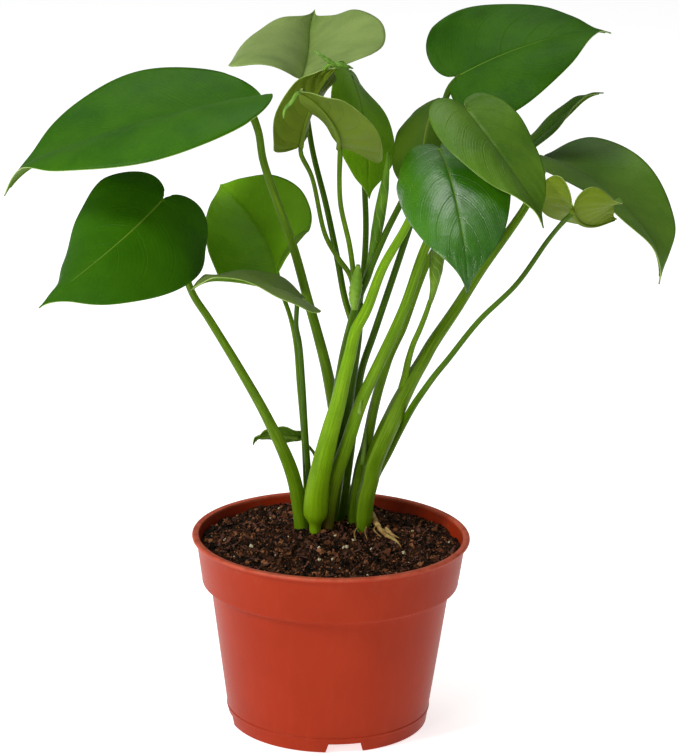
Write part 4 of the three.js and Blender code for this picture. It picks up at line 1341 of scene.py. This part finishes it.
# --------------------------------------------------------------------------- pot
@dataclass(frozen=True)
class NurseryPot:
    """A thin moulded nursery pot, in millimetres."""

    height: float = 108.5
    rim_radius: float = 77.5
    bead: float = 2.4
    collar_top: float = 75.0
    collar_low: float = 71.7
    collar_z: float = 82.2
    shoulder: float = 66.9
    shoulder_z: float = 79.5
    base: float = 55.8
    wall: float = 1.4
    floor_z: float = 5.6
    centre_foot: float = 9.0
    notch_widths: Pair = (22.0, 18.0)
    notch_height: float = 5.2
    notch_angle: float = -80.0
    hole_radius: float = 5.0
    hole_circle: float = 42.0
    steps: int = 160

    def body_radius(self, z: float) -> float:
        """Outer radius of the tapered body at a height."""
        return self.base + (self.shoulder - self.base) * z / self.shoulder_z

    def profile(self) -> list[Pair]:
        """Radius and height of each point of the wall's section, from the underside's middle."""
        inner = self.base - self.wall
        points = [(0.0, 0.3), (self.centre_foot - 0.6, 0.0), (self.centre_foot, 0.4),
                  (self.centre_foot + 0.3, self.floor_z - 0.5), (self.centre_foot + 1, self.floor_z),
                  (inner - 0.8, self.floor_z), (inner, self.floor_z - 0.8), (inner + 0.1, 0.4),
                  (inner + 0.4, 0.0), (self.base - 0.4, 0.0), (self.base, 0.4)]
        for z in (3.0, 6.6):
            points.append((self.body_radius(z), z))
        for z, proud in ((7.2, 0.0), (7.5, 0.3), (8.1, 0.36), (8.7, 0.3), (9.0, 0.0)):
            points.append((self.body_radius(z) + proud, z))
        for z in (10.0, 20.0, 35.0, 50.0, 65.0, 76.0, 78.4):
            points.append((self.body_radius(z), z))
        points += [(self.shoulder + 0.1, 79.2), (self.shoulder + 0.7, 79.9), (self.collar_low - 1.0, 81.0),
                   (self.collar_low - 0.25, 81.4), (self.collar_low, 82.1), (self.collar_low + 0.06, 83.2)]
        under = self.height - self.bead
        for share in (0.25, 0.5, 0.75, 0.96):
            z = self.collar_z + (under - 0.6 - self.collar_z) * share
            points.append((self.collar_low + (self.collar_top - self.collar_low) * share, z))
        points.append((self.collar_top + 0.25, under - 0.35))
        middle_z, half = self.height - self.bead / 2, self.bead / 2
        for degrees in range(-80, 91, 17):
            turn = math.radians(degrees)
            points.append((self.rim_radius - half + half * math.cos(turn), middle_z + half * math.sin(turn)))
        lip = self.collar_top - self.wall
        points += [(lip + 1.0, self.height), (lip + 0.3, self.height - 0.3), (lip, self.height - 1.0),
                   (self.collar_low - self.wall, self.collar_z + self.wall),
                   (self.shoulder - self.wall, self.shoulder_z + self.wall),
                   (inner + 1.2, self.floor_z + self.wall + 1), (inner + 0.4, self.floor_z + self.wall),
                   (0.0, self.floor_z + self.wall)]
        return points

    def spin(self) -> bpy.types.Object:
        """Turns the section about the upright axis."""
        profile = self.profile()
        mesh = bpy.data.meshes.new("pot_shell")
        mesh.from_pydata([(r * MM, 0, z * MM) for r, z in profile],
                         [(i, i + 1) for i in range(len(profile) - 1)], [])
        piece = bpy.data.objects.new("pot_shell", mesh)
        bpy.context.scene.collection.objects.link(piece)
        only(piece)
        bpy.ops.object.mode_set(mode="EDIT")
        bpy.ops.mesh.select_all(action="SELECT")
        bpy.ops.mesh.spin(steps=self.steps, angle=2 * math.pi, center=(0, 0, 0), axis=(0, 0, 1))
        bpy.ops.object.mode_set(mode="OBJECT")
        weld(piece, 1e-5)
        face_out(piece)
        return piece

    def cutter(self, angle: float) -> bpy.types.Object:
        """A wedge that cuts one foot notch, narrower at its top."""
        deselect()
        bpy.ops.mesh.primitive_cube_add(size=1.0)
        piece = bpy.context.active_object
        points = coordinates(piece)
        low, high = self.notch_widths
        width = np.where(points[:, 2] > 0, high, low)
        along = points[:, 0] * 14 + self.base
        across = points[:, 1] * width
        z = np.where(points[:, 2] > 0, self.notch_height, -2.0)
        turn = math.radians(angle)
        points = np.stack([along * math.cos(turn) - across * math.sin(turn),
                           along * math.sin(turn) + across * math.cos(turn), z], axis=1)
        set_coordinates(piece, points * MM)
        return piece

    def drill(self, angle: float) -> bpy.types.Object:
        """A round cutter for one drain hole."""
        deselect()
        turn = math.radians(angle)
        bpy.ops.mesh.primitive_cylinder_add(
            vertices=32, radius=self.hole_radius * MM, depth=6 * MM,
            location=(self.hole_circle * math.cos(turn) * MM, self.hole_circle * math.sin(turn) * MM,
                      (self.floor_z + self.wall / 2) * MM))
        bpy.ops.object.transform_apply(location=True, rotation=True, scale=True)
        return bpy.context.active_object

    def build(self) -> bpy.types.Object:
        """Makes the pot with its foot notches and drain holes."""
        piece = self.spin()
        for index in range(4):
            angle = self.notch_angle + 90 * index
            for tool in (self.cutter(angle), self.drill(angle)):
                cut = piece.modifiers.new("cut", "BOOLEAN")
                cut.operation = "DIFFERENCE"
                cut.solver = "EXACT"
                cut.object = tool
                apply_modifiers(piece)
                bpy.data.objects.remove(tool)
        give(piece, PotFinish().material())
        only(piece)
        bpy.ops.object.shade_smooth_by_angle(angle=math.radians(32))
        hand_in(piece, "pot_plastic", "nursery_pot")
        return piece


# --------------------------------------------------------------------------- potting mix
@dataclass(frozen=True)
class PottingMix:
    """Moist mix: a rough mound with crumbs, bark, fibres and perlite on it."""

    edge_z: float = 101.5
    middle_z: float = 106.5
    edge_radius: float = 72.3
    floor_z: float = 7.4
    seed: int = 7

    FINISH = MixFinish("moist_mix", srgb(12, 6, 3), srgb(112, 66, 40), srgb(168, 110, 74))

    def height(self, x: np.ndarray, y: np.ndarray) -> np.ndarray:
        """Height of the surface at points, in millimetres."""
        radius = np.hypot(x, y)
        mound = self.edge_z + (self.middle_z - self.edge_z) * np.clip(1 - (radius / 66) ** 2, 0, 1)
        tilt = np.clip(-x / 70 * 0.5 + y / 70 * 0.5, -0.5, 1) * 2.2
        rough = np.array([
            2.3 * noise.fractal(Vector((a / 13, b / 13, 0.3)), 1.0, 2.1, 3)
            + 1.5 * noise.fractal(Vector((a / 3.6, b / 3.6, 4.1)), 0.9, 2.0, 3)
            for a, b in zip(x, y)])
        return mound + tilt + rough

    def body(self) -> bpy.types.Object:
        """The closed body of mix with its rough top."""
        pot = NurseryPot()
        rows = [(0.0, self.floor_z), (54.0, self.floor_z), (pot.shoulder - 1.8, 79.0),
                (pot.collar_low - 1.8, 84.0), (self.edge_radius, 100.0)]
        top = [(r, -1.0) for r in np.linspace(self.edge_radius, 0, 64)]
        profile = np.array(rows + top)
        piece = grid("mix_surface", 260, len(profile) - 1)
        flat = coordinates(piece)
        row = np.rint(flat[:, 1] * (len(profile) - 1)).astype(int)
        angle = -flat[:, 0] * 2 * math.pi
        radius, z = profile[row, 0], profile[row, 1].copy()
        x, y = radius * np.cos(angle), radius * np.sin(angle)
        upper = z < 0
        z[upper] = self.height(x[upper], y[upper])
        set_coordinates(piece, np.stack([x, y, z], axis=1) * MM)
        weld(piece, 1e-5)
        face_out(piece)
        tints = np.array([0.5 + 0.5 * noise.noise(Vector(vertex.co) * 160) for vertex in piece.data.vertices])
        set_attribute(piece, "tint", np.clip(tints * 0.5, 0, 1))
        give(piece, self.FINISH.material())
        smooth(piece)
        return piece

    def spread(self, random: np.random.Generator, count: int, reach: float = 71.0) -> np.ndarray:
        """Random places on the surface."""
        radius = reach * np.sqrt(random.random(count))
        angle = random.random(count) * 2 * math.pi
        x, y = radius * np.cos(angle), radius * np.sin(angle)
        return np.stack([x, y, self.height(x, y)], axis=1)

    def lump(self, level: int, amount: float, salt: float) -> bpy.types.Object:
        """One rough crumb of unit size to be copied."""
        deselect()
        bpy.ops.mesh.primitive_ico_sphere_add(subdivisions=level, radius=1.0)
        piece = bpy.context.active_object
        points = coordinates(piece)
        away = Vector((salt, 0, 0))
        shift = np.array([1 + amount * noise.noise(Vector(point) * 1.7 + away) for point in points])
        set_coordinates(piece, points * shift[:, None])
        return piece

    def crumbs(self, name: str, count: int, sizes: Pair, level: int,
               random: np.random.Generator, sink: float = 0.2) -> bpy.types.Object:
        """Scattered crumbs of a range of sizes."""
        size = sizes[0] + (sizes[1] - sizes[0]) * random.random(count) ** 2.2
        places = self.spread(random, count, 72 - sizes[1])
        places[:, 2] += size * (0.35 - sink)
        scales = size[:, None] * random.uniform(0.55, 1.25, size=(count, 3))
        tints = random.random(count) ** 1.4
        template = self.lump(level, 0.9, float(count))
        piece = scatter(name, template, places, random_turns(random, count), scales, tints)
        give(piece, self.FINISH.material())
        return piece

    def bark(self, random: np.random.Generator) -> bpy.types.Object:
        """Splinters of bark lying about."""
        count = 420
        size = random.uniform(1.0, 3.6, count)
        places = self.spread(random, count, 68)
        places[:, 2] += 0.5
        wide = random.uniform(0.16, 0.4, count)
        thick = random.uniform(0.1, 0.22, count)
        scales = np.stack([size, size * wide, size * thick], axis=1)
        turns = self.leaning(random, count, 0.45)
        piece = scatter("bark_splinters", self.lump(1, 0.8, 2.0), places, turns, scales, random.random(count))
        give(piece, DRY_FINISHES["bark"].material())
        return piece

    def leaning(self, random: np.random.Generator, count: int, lean: float) -> np.ndarray:
        """Rotations about the upright axis with a random lean."""
        turn = random.random(count) * 2 * math.pi
        tilt = random.normal(size=count) * lean
        zero, one = np.zeros(count), np.ones(count)
        about_z = np.stack([np.stack([np.cos(turn), -np.sin(turn), zero], axis=1),
                            np.stack([np.sin(turn), np.cos(turn), zero], axis=1),
                            np.stack([zero, zero, one], axis=1)], axis=1)
        about_y = np.stack([np.stack([np.cos(tilt), zero, np.sin(tilt)], axis=1),
                            np.stack([zero, one, zero], axis=1),
                            np.stack([-np.sin(tilt), zero, np.cos(tilt)], axis=1)], axis=1)
        return about_z @ about_y

    def fibres(self, random: np.random.Generator) -> bpy.types.Object:
        """Fine curved fibres on the surface."""
        pieces = []
        for index in range(9):
            bend = random.uniform(-0.5, 0.5)
            places = [(-1, 0, 0), (-0.4, bend * 0.5, 0.05), (0.3, bend * 0.3, -0.03), (1, -bend * 0.4, 0.02)]
            centres = catmull_rom(places, 8)
            template = tube("fibre", centres, np.linspace(0.032, 0.018, 8), 4, (0, 0, 1))
            count = 130
            places = self.spread(random, count, 64)
            places[:, 2] += 0.9
            size = 1.2 + 5.5 * random.random(count) ** 2
            scales = np.stack([size, 1.2 + size * 0.6, np.full(count, 5.0)], axis=1)
            turns = self.leaning(random, count, 0.16)
            pieces.append(scatter(f"fibres_{index}", template, places, turns, scales, random.random(count)))
        piece = join("pale_fibres", pieces)
        give(piece, DRY_FINISHES["fibre"].material())
        return piece

    def perlite(self, random: np.random.Generator) -> bpy.types.Object:
        """White grains, more of them near the front middle."""
        near = np.array([(2.3, 0), (12.5, -4), (3, -17), (7, -19), (9, -19), (1, -38), (-6, -38), (22.5, -15),
                         (-6.5, -23), (16, -53), (-30, -30), (40, -20), (-44, -14), (46, 18)], float)
        places = np.column_stack([near, self.height(near[:, 0], near[:, 1])])
        others = self.spread(random, 46, 68)
        places = np.vstack([places, others])
        count = len(places)
        size = np.concatenate([random.uniform(0.6, 1.1, len(near)), random.uniform(0.25, 0.6, len(others))])
        places[:, 2] += size * 0.9
        scales = size[:, None] * random.uniform(0.7, 1.2, size=(count, 3))
        piece = scatter("perlite_grains", self.lump(2, 0.6, 5.0), places, random_turns(random, count), scales,
                        random.random(count))
        give(piece, DRY_FINISHES["perlite"].material())
        return piece

    def build(self) -> None:
        """Makes the mix and everything on it."""
        random = np.random.default_rng(self.seed)
        hand_in(self.body(), "potting_mix", "potting_mix")
        for piece in (
            self.crumbs("fine_crumbs", 9400, (0.22, 0.85), 1, random),
            self.crumbs("coarse_crumbs", 560, (0.8, 2.3), 2, random, 0.5),
            self.bark(random),
            self.fibres(random),
            self.perlite(random),
        ):
            hand_in(piece, "potting_mix")


# --------------------------------------------------------------------------- studio
@dataclass(frozen=True)
class Studio:
    """Pale floor, soft lights and the camera."""

    camera_at: Point = (3.08, -1500.0, 614.97)
    pitch: float = 0.2710
    roll: float = 0.0189
    lens: float = 134.96

    def floor(self) -> None:
        """A wide pale floor."""
        deselect()
        bpy.ops.mesh.primitive_plane_add(size=120.0, location=(0, 0, -0.0004))
        floor = bpy.context.active_object
        floor.name = "pale_floor"
        material, shader = new_material("pale_floor_finish")
        share = shader.noise(object_vector(shader), 3.0)
        pale = shader.mix(share, (0.86, 0.86, 0.86, 1), (0.90, 0.90, 0.90, 1))
        shader.finish(Base_Color=pale, Roughness=0.9,
                      Emission_Color=(1, 1, 1, 1), Emission_Strength=0.72)
        give(floor, material)

    def light(self, name: str, at: Point, aim: Point, size: float, energy: float) -> None:
        """One soft area light, in metres and watts."""
        lamp = bpy.data.lights.new(name, "AREA")
        lamp.shape = "DISK"
        lamp.size = size
        lamp.energy = energy
        piece = bpy.data.objects.new(name, lamp)
        piece.location = at
        piece.rotation_euler = (Vector(aim) - Vector(at)).to_track_quat("-Z", "Y").to_euler()
        bpy.context.scene.collection.objects.link(piece)

    def build(self) -> None:
        """Sets the camera, the lights, the world and the floor."""
        scene = bpy.context.scene
        camera = bpy.data.cameras.new("camera")
        camera.lens = self.lens
        camera.sensor_width = 36.0
        camera.clip_end = 200.0
        piece = bpy.data.objects.new("camera", camera)
        piece.location = [value * MM for value in self.camera_at]
        turn = Vector((1, 0, 0))
        tilt = Quaternion(turn, math.pi / 2 - self.pitch) @ Quaternion(Vector((0, 0, 1)), self.roll)
        piece.rotation_euler = tilt.to_euler()
        scene.collection.objects.link(piece)
        scene.camera = piece
        world = bpy.data.worlds.new("studio")
        world.use_nodes = True
        world.node_tree.nodes["Background"].inputs[0].default_value = (1, 1, 1, 1)
        world.node_tree.nodes["Background"].inputs[1].default_value = 0.2
        scene.world = world
        scene.view_settings.view_transform = "Standard"
        self.floor()
        self.light("key", (-1.75, -1.3, 1.9), (0, 0, 0.25), 0.7, 38)
        self.light("front", (-1.3, -2.0, 0.9), (0, 0, 0.25), 0.9, 13)
        self.light("top", (-0.2, 0.5, 2.2), (0, 0, 0.2), 1.4, 14)


def build_plant() -> None:
    """Builds every leaf, stalk, rolled leaf, sheath tip and root of the plant."""
    blades = {leaf.name: leaf for leaf in LEAVES}
    for leaf in LEAVES:
        hand_in(leaf.build(), "leaf_blade", f"leaf_{leaf.name}")
    for stalk in STALKS:
        hand_in(stalk.build(blades.get(stalk.name)), "petiole", stalk.node())
    for rolled in ROLLED_LEAVES:
        hand_in(rolled.build(), "young_leaf", rolled.name)
    for strand in TIP_STRANDS:
        hand_in(strand.build(), "leaf_blade")
    for tip in SHEATH_TIPS:
        hand_in(tip.build(), "petiole")
    for root in AERIAL_ROOTS:
        hand_in(root.build(), "aerial_root", *([root.node] if root.node else []))


def main() -> None:
    """Builds the studio, the pot, the mix and the plant."""
    logging.basicConfig(level=logging.INFO, format="%(message)s")
    Studio().build()
    NurseryPot().build()
    PottingMix().build()
    build_plant()


if __name__ == "__main__":
    main()
